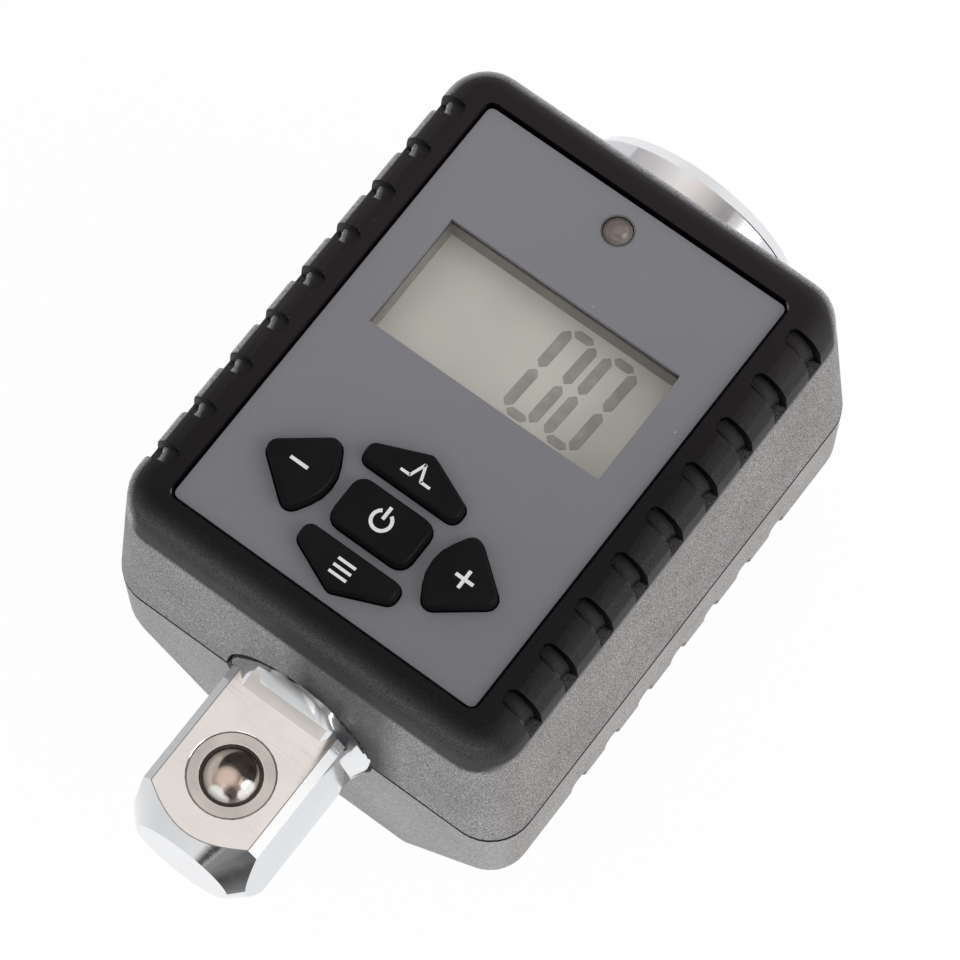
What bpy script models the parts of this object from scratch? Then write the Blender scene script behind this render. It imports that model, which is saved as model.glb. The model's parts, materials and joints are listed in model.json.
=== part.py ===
import math

import bmesh
import bpy
from mathutils import Matrix, Vector

# A digital torque adapter: a steel torsion shaft with a half-inch male square at the front and a
# half-inch female square at the back, clamped in a two-part housing that carries the display.
# Lengths are in metres. X is across, +Y points to the female end, +Z points out of the display.
# Every piece hangs on an empty at the middle of the housing's footprint.

MM = 0.001

# Fits between neighbours
SEAT_GAP = 0.3 * MM
KEY_GAP = 0.15 * MM
BOND_GAP = 0.1 * MM

# Housing, which grows from its panel, its cells and the stack inside
CORNER_RADIUS = 4.4 * MM
WALL = 2.0 * MM
END_WALL = 3.0 * MM
RIM_FLAT_SIDE = 1.05 * MM
RIM_FLAT_END = 0.28 * MM
SIDE_DRAFT = 1.7 * MM
END_DRAFT = 0.9 * MM
RIM_FILLET = 3.3 * MM
LOWER_DRAFT = 0.2 * MM
FOOT_BORDER = 0.65 * MM
CHAMFER_DOWN = 11.2 * MM
EDGE_ROUND = 3.0 * MM
FOOT_ROUND = 0.6 * MM
BOTTOM_DRAFT = 0.7 * MM

# Grip notches along both long sides
NOTCH_PITCH = 5.2 * MM
NOTCH_WIDTH = 1.9 * MM
NOTCH_DEPTH = 0.9 * MM
NOTCH_DROP = 4.6 * MM
NOTCH_FROM_END = 6.8 * MM
LOWER_NOTCH_WIDTH = 2.3 * MM
LOWER_NOTCH_DEPTH = 1.3 * MM
LOWER_NOTCH_RISE = 1.6 * MM
LOWER_NOTCH_RUN = 4.0 * MM

# Front panel, and what shows through it from its front end to its back end
PANEL_RADIUS = 0.6 * MM
PANEL_THICK = 0.6 * MM
PANEL_SINK = 0.5 * MM
PANEL_EDGE_GAP = 0.35 * MM
PANEL_SHIFT = -0.28 * MM
DECK_THICK = 2.0 * MM
KEYPAD_FROM_END = 8.65 * MM
KEYPAD_TO_WINDOW = 6.8 * MM
WINDOW_BORDER = 3.8 * MM
WINDOW_WIDTH = 25.2 * MM
WINDOW_LENGTH = 12.2 * MM
WINDOW_TO_LED = 7.9 * MM
WINDOW_CORNER = 0.3 * MM
LED_FROM_END = 3.0 * MM
LENS_THICK = 0.8 * MM
LENS_MARGIN = 1.0 * MM
LED_RADIUS = 1.5 * MM
LED_RISE = 0.8 * MM
LED_FLANGE = 0.35 * MM
LED_FLANGE_THICK = 0.8 * MM
LED_STAND_OFF = 2.4 * MM
LED_LEG_PITCH = 1.27 * MM
LED_LEG_THICK = 0.5 * MM

# Display under the window
GLASS_MARGIN_SIDE = 1.9 * MM
GLASS_MARGIN_END = 2.1 * MM
GLASS_THICK = 2.2 * MM
FRAME_WALL = 1.3 * MM
FRAME_LIP = 0.65 * MM
ZEBRA_HEIGHT = 1.4 * MM
ZEBRA_WIDTH = 2.0 * MM
BOARD_THICK = 1.6 * MM

# Keys
KEY_RISE = 1.2 * MM
KEY_FLANGE = 0.3 * MM
KEY_FLANGE_THICK = 0.8 * MM
KEY_EDGE = 0.4 * MM
POWER_HALF_WIDTH = 4.35 * MM
POWER_HALF_LENGTH = 2.68 * MM
POWER_CORNER = 1.4 * MM
ROOF_KEY_Y = 5.6 * MM
ROOF_HALF_WIDTH = 5.35 * MM
ROOF_BASE = 2.15 * MM
ROOF_EAVES = 0.05 * MM
ROOF_RIDGE = 2.25 * MM
ROOF_CORNER = 1.0 * MM
FAN_KEY_X = 8.95 * MM
FAN_INNER = 4.15 * MM
FAN_OUTER = 4.3 * MM
FAN_HALF_LENGTH = 4.5 * MM
FAN_WIDEST = 1.55 * MM
FAN_CORNER = 1.1 * MM
FAN_BULGE = 4.4 * MM
DOME_HEIGHT = 1.2 * MM
DOME_RADIUS = 2.0 * MM

# Torsion shaft
DRIVE_ACROSS = 12.7 * MM
DRIVE_CHAMFER = 0.85 * MM
DRIVE_REACH = 17.25 * MM
TIP_RADIUS = 5.2 * MM
ROOT_REACH = 2.5 * MM
ROOT_RADIUS = 8.3 * MM
ROOT_BURY = 0.05 * MM
ROOT_BEND = 1.15 * MM
ROOT_BEND_RISE = 0.25 * MM
ROOT_END = 0.1 * MM
ROOT_RISE = 1.25 * MM
SHOULDER_REACH = 1.0 * MM
SHOULDER_CHAMFER = 0.4 * MM
FRONT_JOURNAL_RADIUS = 8.0 * MM
FRONT_JOURNAL_LENGTH = 7.2 * MM
GAUGE_ACROSS = 10.0 * MM
GAUGE_CORNER = 1.5 * MM
FLARE_LENGTH = 4.0 * MM
REAR_JOURNAL_RADIUS = 9.8 * MM
REAR_JOURNAL_LENGTH = 11.5 * MM
COLLAR_RADIUS = 12.0 * MM
COLLAR_REACH = 5.1 * MM
COLLAR_CHAMFER = 0.7 * MM
COLLAR_CHAMFER_LENGTH = 1.2 * MM
SOCKET_ACROSS = 12.9 * MM
SOCKET_CORNER = 0.8 * MM
SOCKET_DEPTH = 14.5 * MM
SOCKET_LEAD_IN = 1.0 * MM

# Detent ball in the drive's upper flat
BALL_RADIUS = 2.75 * MM
BALL_SINK = 1.35 * MM
BALL_FROM_TIP = 7.8 * MM
DISH_RADIUS = 4.15 * MM
DISH_SLOPE = 0.15 * MM
DISH_DEPTH = 0.12 * MM
MOUTH_RADIUS = 3.1 * MM
KEEPER_RADIUS = 2.62 * MM
KEEPER_TOP = 0.22 * MM
KEEPER_BOTTOM = 0.35 * MM
POCKET_RADIUS = 3.0 * MM
POCKET_DEPTH = 9.0 * MM
DETENT_SPRING_RADIUS = 1.9 * MM
DETENT_WIRE = 0.3 * MM

# Seals, saddles and locating pin
SADDLE_WALL = 2.7 * MM
FRONT_SADDLE_LENGTH = 4.0 * MM
REAR_SADDLE_LENGTH = 2.2 * MM
SEAL_WIRE = 0.6 * MM
SEAL_GAP = 0.15 * MM
SEAL_INSET = 1.0 * MM
LIP_THICK = 0.85 * MM
LIP_HEIGHT = 1.2 * MM
PIN_RADIUS = 0.9 * MM
PIN_LENGTH = 4.6 * MM
PIN_BITE = 2.4 * MM
PIN_FROM_WALL = 3.0 * MM

# Batteries, their contacts and the sliding cover
CELL_RADIUS = 5.25 * MM
CELL_LENGTH = 44.5 * MM
CELL_NUB_RADIUS = 2.6 * MM
CELL_NUB_LENGTH = 1.0 * MM
CELL_GAP = 0.5 * MM
CELL_MARGIN = 0.25 * MM
SHAFT_CLEARANCE = 0.74 * MM
BOARD_CLEARANCE = 0.95 * MM
SPRING_LENGTH = 2.1 * MM
CONTACT_THICK = 0.4 * MM
CONTACT_WIDTH = 7.0 * MM
CONTACT_HEIGHT = 8.0 * MM
CONTACT_COIL_RADIUS = 2.6 * MM
CONTACT_WIRE = 0.3 * MM
ROOF_THICK = 0.9 * MM
COVER_THICK = 1.2 * MM
COVER_SINK = 0.2 * MM
COVER_REST = 0.3 * MM
RAIL_WIDTH = 1.0 * MM
RAIL_INSET = 0.8 * MM
RAIL_THICK = 1.0 * MM
RIDGE_COUNT = 5
RIDGE_PITCH = 1.8 * MM
RIDGE_DEPTH = 0.35 * MM
RIDGES_FROM_END = 9.0 * MM

# Screws
SCREW_FROM_SIDE = 5.85 * MM
SCREW_FROM_END = 6.7 * MM
BOSS_RADIUS = 2.6 * MM
SCREW_RADIUS = 0.95 * MM
SCREW_HEAD_RADIUS = 1.85 * MM
SCREW_HEAD_THICK = 1.5 * MM
SCREW_SEAT_HEIGHT = 8.5 * MM
SCREW_BITE = 6.0 * MM
BOARD_SCREW_FROM_EDGE = 2.45 * MM
BOARD_POST_GAP = 0.65 * MM
BOARD_SCREW_BITE = 3.5 * MM
BOARD_POST_RADIUS = 1.8 * MM

# Electronics below the board
BUZZER_RADIUS = 4.6 * MM
BUZZER_HEIGHT = 4.0 * MM
BUZZER_EDGE = 0.5 * MM
BUZZER_FROM_EDGE = 6.55 * MM
CHIP_SIZE = 7.0 * MM
CHIP_FROM_EDGE = 9.95 * MM
CHIP_FROM_END = 13.0 * MM
CHIP_THICK = 1.2 * MM
GAUGE_LENGTH = 8.0 * MM
GAUGE_HEIGHT = 6.0 * MM
GAUGE_THICK = 0.25 * MM
LEAD_RADIUS = 0.45 * MM
LEAD_FROM_EDGE = 6.15 * MM
LEAD_FROM_CONTACT = 2.9 * MM
LEAD_RUN = 6.0 * MM
LEAD_SWAY = 0.8 * MM

# How far a cutter starts outside the face that it cuts
OVERCUT = 0.1 * MM

# Facets
CORNER_STEPS = 4
SHELL_STEPS = 8
FILLET_STEPS = 6
ROUND_STEPS = 40
SMALL_STEPS = 16
SCREW_STEPS = 12

# Places that follow from the sizes above: the battery bay and its cover first
CELL_SPACING = 2 * CELL_RADIUS + CELL_GAP
COVER_HALF_WIDTH = CELL_SPACING / 2 + CELL_RADIUS + CELL_MARGIN
RAIL_BOTTOM = COVER_SINK + COVER_THICK
RAIL_TOP = RAIL_BOTTOM + RAIL_THICK
CELL_HEIGHT = RAIL_BOTTOM + COVER_REST + CELL_RADIUS
ROOF_BOTTOM = CELL_HEIGHT + CELL_RADIUS + SEAT_GAP
ROOF_TOP = ROOF_BOTTOM + ROOF_THICK
BAY_HALF_LENGTH = (CELL_LENGTH + SPRING_LENGTH) / 2 + SEAT_GAP + CONTACT_THICK + SEAT_GAP
CONTACT_Y = BAY_HALF_LENGTH - SEAT_GAP - CONTACT_THICK / 2

# The housing's length and width, from the panel or from the bay if that is longer
KEYPAD_REACH = ROOF_KEY_Y + ROOF_RIDGE
PANEL_FRONT_PART = KEYPAD_FROM_END + KEYPAD_REACH + KEYPAD_TO_WINDOW
PANEL_LENGTH = PANEL_FRONT_PART + WINDOW_LENGTH + WINDOW_TO_LED + LED_FROM_END
PANEL_WIDTH = WINDOW_WIDTH + 2 * WINDOW_BORDER
RIM_BORDER = PANEL_EDGE_GAP + RIM_FLAT_END + RIM_FILLET + END_DRAFT
HALF_LENGTH = max(PANEL_LENGTH / 2 + RIM_BORDER, BAY_HALF_LENGTH + END_WALL)
RIM_HALF_LENGTH = HALF_LENGTH - END_DRAFT
RIM_HALF_WIDTH = PANEL_WIDTH / 2 + PANEL_EDGE_GAP + RIM_FLAT_SIDE + RIM_FILLET
UPPER_NOTCHES = 1 + int(2 * (HALF_LENGTH - NOTCH_FROM_END) / NOTCH_PITCH)
LOWER_NOTCHES = UPPER_NOTCHES - 2
HALF_WIDTH = RIM_HALF_WIDTH + SIDE_DRAFT
FOOT_HALF_WIDTH = COVER_HALF_WIDTH + RAIL_WIDTH + SEAT_GAP + FOOT_BORDER
CHAMFER_IN = HALF_WIDTH - LOWER_DRAFT - FOOT_HALF_WIDTH
COVER_FRONT = -BAY_HALF_LENGTH + 2 * SEAT_GAP
COVER_BACK = HALF_LENGTH - BOTTOM_DRAFT - SEAT_GAP
SCREW_X = HALF_WIDTH - SCREW_FROM_SIDE
SCREW_Y = HALF_LENGTH - SCREW_FROM_END

# The shaft rides just over the cells, and the board, the display and the deck stack up over it
SHAFT_LIFT = math.sqrt((REAR_JOURNAL_RADIUS + CELL_RADIUS + SHAFT_CLEARANCE) ** 2 - (CELL_SPACING / 2) ** 2)
SHAFT_HEIGHT = CELL_HEIGHT + SHAFT_LIFT
BOARD_BOTTOM = SHAFT_HEIGHT + FRONT_JOURNAL_RADIUS + SADDLE_WALL + BOARD_CLEARANCE
BOARD_TOP = BOARD_BOTTOM + BOARD_THICK
ZEBRA_TOP = BOARD_TOP + SEAT_GAP + ZEBRA_HEIGHT
GLASS_BOTTOM = ZEBRA_TOP + SEAT_GAP
GLASS_TOP = GLASS_BOTTOM + GLASS_THICK
FRAME_TOP = GLASS_TOP + SEAT_GAP + FRAME_LIP
CEILING = FRAME_TOP + SEAT_GAP
DECK_TOP = CEILING + DECK_THICK
PANEL_BOTTOM = DECK_TOP + SEAT_GAP
PANEL_TOP = PANEL_BOTTOM + PANEL_THICK
BODY_HEIGHT = PANEL_TOP + PANEL_SINK
RIM_HEIGHT = BODY_HEIGHT - RIM_FILLET
LENS_BOTTOM = DECK_TOP - LENS_THICK

# What shows on the panel, and the board below it
PANEL_FRONT = PANEL_SHIFT - PANEL_LENGTH / 2
KEYPAD_CENTRE = PANEL_FRONT + KEYPAD_FROM_END
WINDOW_CENTRE = PANEL_FRONT + PANEL_FRONT_PART + WINDOW_LENGTH / 2
LED_PLACE = WINDOW_CENTRE + WINDOW_LENGTH / 2 + WINDOW_TO_LED
GLASS_WIDTH = WINDOW_WIDTH + 2 * GLASS_MARGIN_SIDE
GLASS_LENGTH = WINDOW_LENGTH + 2 * GLASS_MARGIN_END
FRAME_HALF_LENGTH = GLASS_LENGTH / 2 + SEAT_GAP + FRAME_WALL
BOARD_HALF_WIDTH = RIM_HALF_WIDTH - WALL - SEAT_GAP
BOARD_HALF_LENGTH = HALF_LENGTH - WALL - REAR_SADDLE_LENGTH - SEAT_GAP
BOARD_SCREW_X = BOARD_HALF_WIDTH - BOARD_SCREW_FROM_EDGE
BOARD_SCREW_Y = WINDOW_CENTRE - FRAME_HALF_LENGTH - BOARD_POST_GAP - BOARD_POST_RADIUS

# The shaft's stations along its axis, from the male square's tip to the collar's end
DRIVE_HALF = DRIVE_ACROSS / 2
TIP_Y = -HALF_LENGTH - DRIVE_REACH
SHOULDER_Y = -HALF_LENGTH - SHOULDER_REACH
GAUGE_START = SHOULDER_Y + FRONT_JOURNAL_LENGTH + FLARE_LENGTH
REAR_JOURNAL_START = HALF_LENGTH - REAR_JOURNAL_LENGTH
GAUGE_END = REAR_JOURNAL_START - FLARE_LENGTH
COLLAR_END = HALF_LENGTH + COLLAR_REACH
BALL_Y = TIP_Y + BALL_FROM_TIP
FLAT_HEIGHT = SHAFT_HEIGHT + DRIVE_HALF
POCKET_BOTTOM = FLAT_HEIGHT - POCKET_DEPTH
DATUM_Y = (DRIVE_REACH - COLLAR_REACH) / 2

OBJECTS = bpy.context.scene.collection.objects


def clear_scene():
    for obj in list(bpy.data.objects):
        bpy.data.objects.remove(obj, do_unlink=True)


def make_datum():
    datum = bpy.data.objects.new("housing_datum", None)
    datum.location = (0, DATUM_Y, 0)
    OBJECTS.link(datum)
    return datum


def make_material(name, colour, roughness, metallic=0.0, transmission=0.0):
    material = bpy.data.materials.new(name)
    material.use_nodes = True
    shader = material.node_tree.nodes["Principled BSDF"]
    shader.inputs["Base Color"].default_value = (*colour, 1)
    shader.inputs["Roughness"].default_value = roughness
    shader.inputs["Metallic"].default_value = metallic
    shader.inputs["Transmission Weight"].default_value = transmission
    return material


def mesh_from(name, bm):
    bmesh.ops.recalc_face_normals(bm, faces=bm.faces)
    mesh = bpy.data.meshes.new(name)
    bm.to_mesh(mesh)
    bm.free()
    return mesh


def add_piece(name, bm, material, place=(0, 0, 0)):
    mesh = mesh_from(name, bm)
    mesh.materials.append(material)
    mesh.shade_smooth()
    mesh.set_sharp_from_angle(angle=math.radians(32))
    return place_mesh(name, mesh, place)


def place_mesh(name, mesh, place):
    obj = bpy.data.objects.new(name, mesh)
    obj.location = place
    obj.parent = bpy.data.objects["housing_datum"]
    OBJECTS.link(obj)
    return obj


def add_cutter(name, bm):
    obj = place_mesh(name, mesh_from(name, bm), (0, 0, 0))
    obj.hide_render = True
    obj.display_type = "WIRE"
    return obj


def combine(target, tool, operation="DIFFERENCE"):
    modifier = target.modifiers.new(tool.name, "BOOLEAN")
    modifier.operation = operation
    modifier.object = tool
    modifier.solver = "EXACT"


def stack(bm, rings):
    # One closed shell, grown ring by ring from the first outline to the last
    base = bm.faces.new([bm.verts.new(point) for point in rings[0]])
    face = base
    for ring in rings[1:]:
        grown = bmesh.ops.extrude_face_region(bm, geom=[face])
        if face is not base:
            bmesh.ops.delete(bm, geom=[face], context="FACES_ONLY")
        face = next(item for item in grown["geom"] if isinstance(item, bmesh.types.BMFace))
        for vert, point in zip(face.verts, ring):
            vert.co = point
    return bm


def rounded_outline(corners, steps=CORNER_STEPS, grow=0.0):
    # A convex outline, counter-clockwise, whose corners are (x, y, radius); grow offsets it outwards
    points = []
    for index, (x, y, radius) in enumerate(corners):
        here = Vector((x, y))
        back = (Vector(corners[index - 1][:2]) - here).normalized()
        ahead = (Vector(corners[(index + 1) % len(corners)][:2]) - here).normalized()
        half = back.angle(ahead) / 2
        centre = here + (back + ahead).normalized() * (radius / math.sin(half))
        first = here + back * (radius / math.tan(half)) - centre
        start = math.atan2(first.y, first.x)
        for step in range(steps + 1):
            angle = start + (math.pi - 2 * half) * step / steps
            reach = radius + grow
            points.append((centre.x + reach * math.cos(angle), centre.y + reach * math.sin(angle)))
    return points


def rectangle(half_width, half_length, radius, middle=(0.0, 0.0)):
    x, y = middle
    return [
        (x + half_width, y + half_length, radius),
        (x - half_width, y + half_length, radius),
        (x - half_width, y - half_length, radius),
        (x + half_width, y - half_length, radius),
    ]


def flat_ring(outline, height):
    return [(x, y, height) for x, y in outline]


def box(bm, low, high):
    corners = [(low[0], low[1]), (high[0], low[1]), (high[0], high[1]), (low[0], high[1])]
    return stack(bm, [flat_ring(corners, low[2]), flat_ring(corners, high[2])])


def circle(radius, steps=SMALL_STEPS, middle=(0.0, 0.0)):
    turns = [math.tau * (step + 0.5) / steps for step in range(steps)]
    return [(middle[0] + radius * math.cos(t), middle[1] + radius * math.sin(t)) for t in turns]


def pillar(bm, stages, steps=SMALL_STEPS, middle=(0.0, 0.0)):
    # A turned solid on a vertical axis through (height, radius) stages
    return stack(bm, [flat_ring(circle(radius, steps, middle), height) for height, radius in stages])


def shaft_ring(along, radius, steps=ROUND_STEPS):
    return [(x, along, SHAFT_HEIGHT + z) for x, z in circle(radius, steps)]


def barrel(bm, stages, steps=ROUND_STEPS):
    # A turned solid on the shaft's axis through (distance along, radius) stages
    return stack(bm, [shaft_ring(along, radius, steps) for along, radius in stages])


def square_ring(along, across, corner, steps=ROUND_STEPS):
    # A round-cornered square with as many points as a round ring, so that the two can be joined
    half = across / 2
    ring = []
    for x, z in circle(1.0, steps):
        a, b = max(abs(x), abs(z)), min(abs(x), abs(z))
        reach = half / a
        if half * b / a > half - corner:
            inner = half - corner
            reach = inner * (a + b) + math.sqrt(corner**2 - (inner * (a - b)) ** 2)
        ring.append((x * reach, along, SHAFT_HEIGHT + z * reach))
    return ring


def tube(name, points, radius, material, sides=1):
    # A wire along a smooth curve through the points
    curve = bpy.data.curves.new(name, "CURVE")
    curve.dimensions = "3D"
    curve.bevel_depth = radius
    curve.bevel_resolution = sides
    curve.use_fill_caps = True
    spline = curve.splines.new("POLY")
    spline.points.add(len(points) - 1)
    for item, point in zip(spline.points, points):
        item.co = (*point, 1)
    curve.materials.append(material)
    return place_mesh(name, curve, (0, 0, 0))


def smooth_route(knots, pieces=3):
    # Catmull-Rom points through the knots
    padded = [knots[0], *knots, knots[-1]]
    route = []
    for before, start, end, after in zip(padded, padded[1:], padded[2:], padded[3:]):
        p0, p1, p2, p3 = (Vector(knot) for knot in (before, start, end, after))
        for piece in range(pieces):
            t = piece / pieces
            swing = p1 * 2 + (p2 - p0) * t + (p0 * 2 - p1 * 5 + p2 * 4 - p3) * t**2
            route.append((swing + (p1 * 3 - p0 - p2 * 3 + p3) * t**3) / 2)
    route.append(Vector(knots[-1]))
    return route


def helix(radius, low, high, turns, steps=12):
    count = round(turns * steps)
    points = []
    for index in range(count + 1):
        angle = math.tau * index / steps
        height = low + (high - low) * index / count
        points.append((radius * math.cos(angle), radius * math.sin(angle), height))
    return points


def spread(count, pitch, middle=0.0):
    return [middle + pitch * (index - (count - 1) / 2) for index in range(count)]


def upper_outer_rings():
    radius = CORNER_RADIUS
    base = rounded_outline(rectangle(HALF_WIDTH, HALF_LENGTH, radius), SHELL_STEPS)
    rings = [flat_ring(base, SHAFT_HEIGHT + SEAT_GAP / 2)]
    rim = rectangle(RIM_HALF_WIDTH, RIM_HALF_LENGTH, radius)
    for step in range(FILLET_STEPS + 1):
        angle = math.pi / 2 * step / FILLET_STEPS
        inset = RIM_FILLET * (1 - math.cos(angle))
        outline = rounded_outline(rim, SHELL_STEPS, -inset)
        rings.append(flat_ring(outline, RIM_HEIGHT + RIM_FILLET * math.sin(angle)))
    return rings


def wall_half_width(height):
    # Half width of the lower shell's outside at a height
    turn = math.atan2(CHAMFER_IN, CHAMFER_DOWN)
    top = CHAMFER_DOWN + EDGE_ROUND * math.tan(turn / 2)
    edge = HALF_WIDTH - LOWER_DRAFT
    if height >= top:
        return edge + LOWER_DRAFT * (height - top) / (SHAFT_HEIGHT - top)
    return edge


def lower_side_profile():
    # (half width, height) from the parting plane round the lower edge to the foot
    turn = math.atan2(CHAMFER_IN, CHAMFER_DOWN)
    edge = HALF_WIDTH - LOWER_DRAFT
    centre = (edge - EDGE_ROUND, CHAMFER_DOWN + EDGE_ROUND * math.tan(turn / 2))
    profile = [(HALF_WIDTH, SHAFT_HEIGHT - SEAT_GAP / 2)]
    for step in range(CORNER_STEPS + 1):
        angle = -turn * step / CORNER_STEPS
        profile.append((centre[0] + EDGE_ROUND * math.cos(angle), centre[1] + EDGE_ROUND * math.sin(angle)))
    slope = CHAMFER_IN / CHAMFER_DOWN
    foot = edge - CHAMFER_IN
    profile.append((foot + slope * FOOT_ROUND, FOOT_ROUND))
    profile.append((foot - FOOT_ROUND * 0.3, 0.0))
    return profile


def lower_outer_rings():
    rings = []
    for half_width, height in lower_side_profile():
        fall = (SHAFT_HEIGHT - height) / SHAFT_HEIGHT
        half_length = HALF_LENGTH - BOTTOM_DRAFT * fall
        if height <= 0:
            half_length -= FOOT_ROUND
        corners = rectangle(half_width, half_length, CORNER_RADIUS * (1 - 0.35 * fall))
        rings.append(flat_ring(rounded_outline(corners, SHELL_STEPS), height))
    return rings


def notch_sections(size):
    # (offset along the row, depth, how far the round end draws in) across one flat-bottomed groove
    half, depth = size[0] / 2, size[1]
    sections = []
    for offset, share in ((-1.0, 0.0), (-0.8, 0.8), (-0.4, 1.0), (0.4, 1.0), (0.8, 0.8), (1.0, 0.0)):
        draw_in = half * (1 - math.sqrt(1 - offset ** 2))
        sections.append((half * offset, (depth + OVERCUT) * share - OVERCUT, draw_in))
    return sections


def upper_notch_section(side, along, depth, draw_in):
    # The floor follows the rim fillet at this depth and ends on a level ledge in the wall
    centre = RIM_HALF_WIDTH - RIM_FILLET
    reach = RIM_FILLET - depth
    beyond = RIM_HALF_WIDTH + 2 * WALL
    ledge = BODY_HEIGHT - NOTCH_DROP
    start = centre + draw_in
    points = [(start, BODY_HEIGHT + WALL), (start, RIM_HEIGHT + math.sqrt(reach ** 2 - draw_in ** 2))]
    for angle in (60, 30, 0):
        turn = math.radians(angle)
        points.append((centre + reach * math.cos(turn), RIM_HEIGHT + reach * math.sin(turn)))
    points += [(centre + reach, ledge), (beyond, ledge), (beyond, BODY_HEIGHT + WALL)]
    return [(side * x, along, z) for x, z in points]


def lower_notch_section(side, along, depth, draw_in):
    # The floor runs round the lower edge at this depth and dies out on the chamfer
    turn = math.atan2(CHAMFER_IN, CHAMFER_DOWN)
    edge = HALF_WIDTH - LOWER_DRAFT
    centre = (edge - EDGE_ROUND, CHAMFER_DOWN + EDGE_ROUND * math.tan(turn / 2))
    reach = EDGE_ROUND - depth
    ledge = centre[1] + LOWER_NOTCH_RISE - draw_in
    beyond = edge + 2 * WALL
    points = [(beyond, ledge), (centre[0] + reach, ledge)]
    for share in (0.0, 0.5, 1.0):
        angle = -turn * share
        points.append((centre[0] + reach * math.cos(angle), centre[1] + reach * math.sin(angle)))
    out = Vector((math.cos(turn), -math.sin(turn)))
    down = Vector((-math.sin(turn), -math.cos(turn)))
    end = Vector(centre) + out * (EDGE_ROUND + OVERCUT) + down * LOWER_NOTCH_RUN
    points += [tuple(end), tuple(end + out * 2 * WALL), (beyond, end.y)]
    return [(side * x, along, z) for x, z in points]


def notch_cutter(name, count, section, size):
    bm = bmesh.new()
    for side in (-1, 1):
        for place in spread(count, NOTCH_PITCH):
            rows = notch_sections(size)
            stack(bm, [section(side, place + offset, depth, draw_in) for offset, depth, draw_in in rows])
    return add_cutter(name, bm)


def key_corners():
    # Outlines of the five keys about their own middles, as (x, y, radius) corners
    fan = [
        (FAN_INNER, 0.0, FAN_BULGE),
        (FAN_WIDEST, FAN_HALF_LENGTH, FAN_CORNER),
        (-FAN_OUTER, 0.0, FAN_CORNER),
        (FAN_WIDEST, -FAN_HALF_LENGTH, FAN_CORNER),
    ]
    roof = [
        (ROOF_HALF_WIDTH, -ROOF_BASE, ROOF_CORNER),
        (ROOF_HALF_WIDTH, -ROOF_EAVES, ROOF_CORNER),
        (0.0, ROOF_RIDGE, ROOF_CORNER),
        (-ROOF_HALF_WIDTH, -ROOF_EAVES, ROOF_CORNER),
        (-ROOF_HALF_WIDTH, -ROOF_BASE, ROOF_CORNER),
    ]
    power = rectangle(POWER_HALF_WIDTH, POWER_HALF_LENGTH, POWER_CORNER)
    turned = [(-x, -y, radius) for x, y, radius in roof]
    mirrored = [(-x, y, radius) for x, y, radius in reversed(fan)]
    return {
        "key_power": ((0.0, KEYPAD_CENTRE), power),
        "key_peak_track": ((0.0, KEYPAD_CENTRE + ROOF_KEY_Y), roof),
        "key_mode": ((0.0, KEYPAD_CENTRE - ROOF_KEY_Y), turned),
        "key_minus": ((-FAN_KEY_X, KEYPAD_CENTRE), fan),
        "key_plus": ((FAN_KEY_X, KEYPAD_CENTRE), mirrored),
    }


def at_middle(corners, middle):
    return [(x + middle[0], y + middle[1], radius) for x, y, radius in corners]


def key_openings(bm, low, high):
    for middle, corners in key_corners().values():
        outline = rounded_outline(at_middle(corners, middle))
        stack(bm, [flat_ring(outline, low), flat_ring(outline, high)])


def front_openings():
    # Everything that passes through the deck under the panel
    bm = bmesh.new()
    low, high = CEILING - WALL, BODY_HEIGHT + WALL
    key_openings(bm, low, high)
    margin = SEAT_GAP
    half_width, half_length = WINDOW_WIDTH / 2 + margin, WINDOW_LENGTH / 2 + margin
    outline = rounded_outline(rectangle(half_width, half_length, WINDOW_CORNER, (0, WINDOW_CENTRE)))
    stack(bm, [flat_ring(outline, low), flat_ring(outline, high)])
    pillar(bm, [(low, LED_RADIUS + SEAT_GAP), (high, LED_RADIUS + SEAT_GAP)], middle=(0, LED_PLACE))
    return add_cutter("cut_front_openings", bm)


def panel_recess():
    bm = bmesh.new()
    panel = rectangle(PANEL_WIDTH / 2, PANEL_LENGTH / 2, PANEL_RADIUS, (0, PANEL_SHIFT))
    outline = rounded_outline(panel, grow=PANEL_EDGE_GAP)
    stack(bm, [flat_ring(outline, DECK_TOP), flat_ring(outline, BODY_HEIGHT + WALL)])
    return add_cutter("cut_panel_recess", bm)


def lens_outline(grow):
    half_width = WINDOW_WIDTH / 2 + LENS_MARGIN
    half_length = WINDOW_LENGTH / 2 + LENS_MARGIN
    return rounded_outline(rectangle(half_width, half_length, WINDOW_CORNER, (0, WINDOW_CENTRE)), grow=grow)


def lens_pocket():
    bm = bmesh.new()
    outline = lens_outline(SEAT_GAP)
    stack(bm, [flat_ring(outline, LENS_BOTTOM - SEAT_GAP), flat_ring(outline, DECK_TOP + WALL)])
    return add_cutter("cut_lens_pocket", bm)


def upper_cavity():
    bm = bmesh.new()
    radius = CORNER_RADIUS - WALL
    low = rounded_outline(rectangle(HALF_WIDTH - WALL, HALF_LENGTH - WALL, radius))
    high = rounded_outline(rectangle(RIM_HALF_WIDTH - WALL, RIM_HALF_LENGTH - WALL, radius))
    stack(bm, [flat_ring(low, SHAFT_HEIGHT - WALL), flat_ring(high, CEILING)])
    return add_cutter("cut_upper_cavity", bm)


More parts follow.
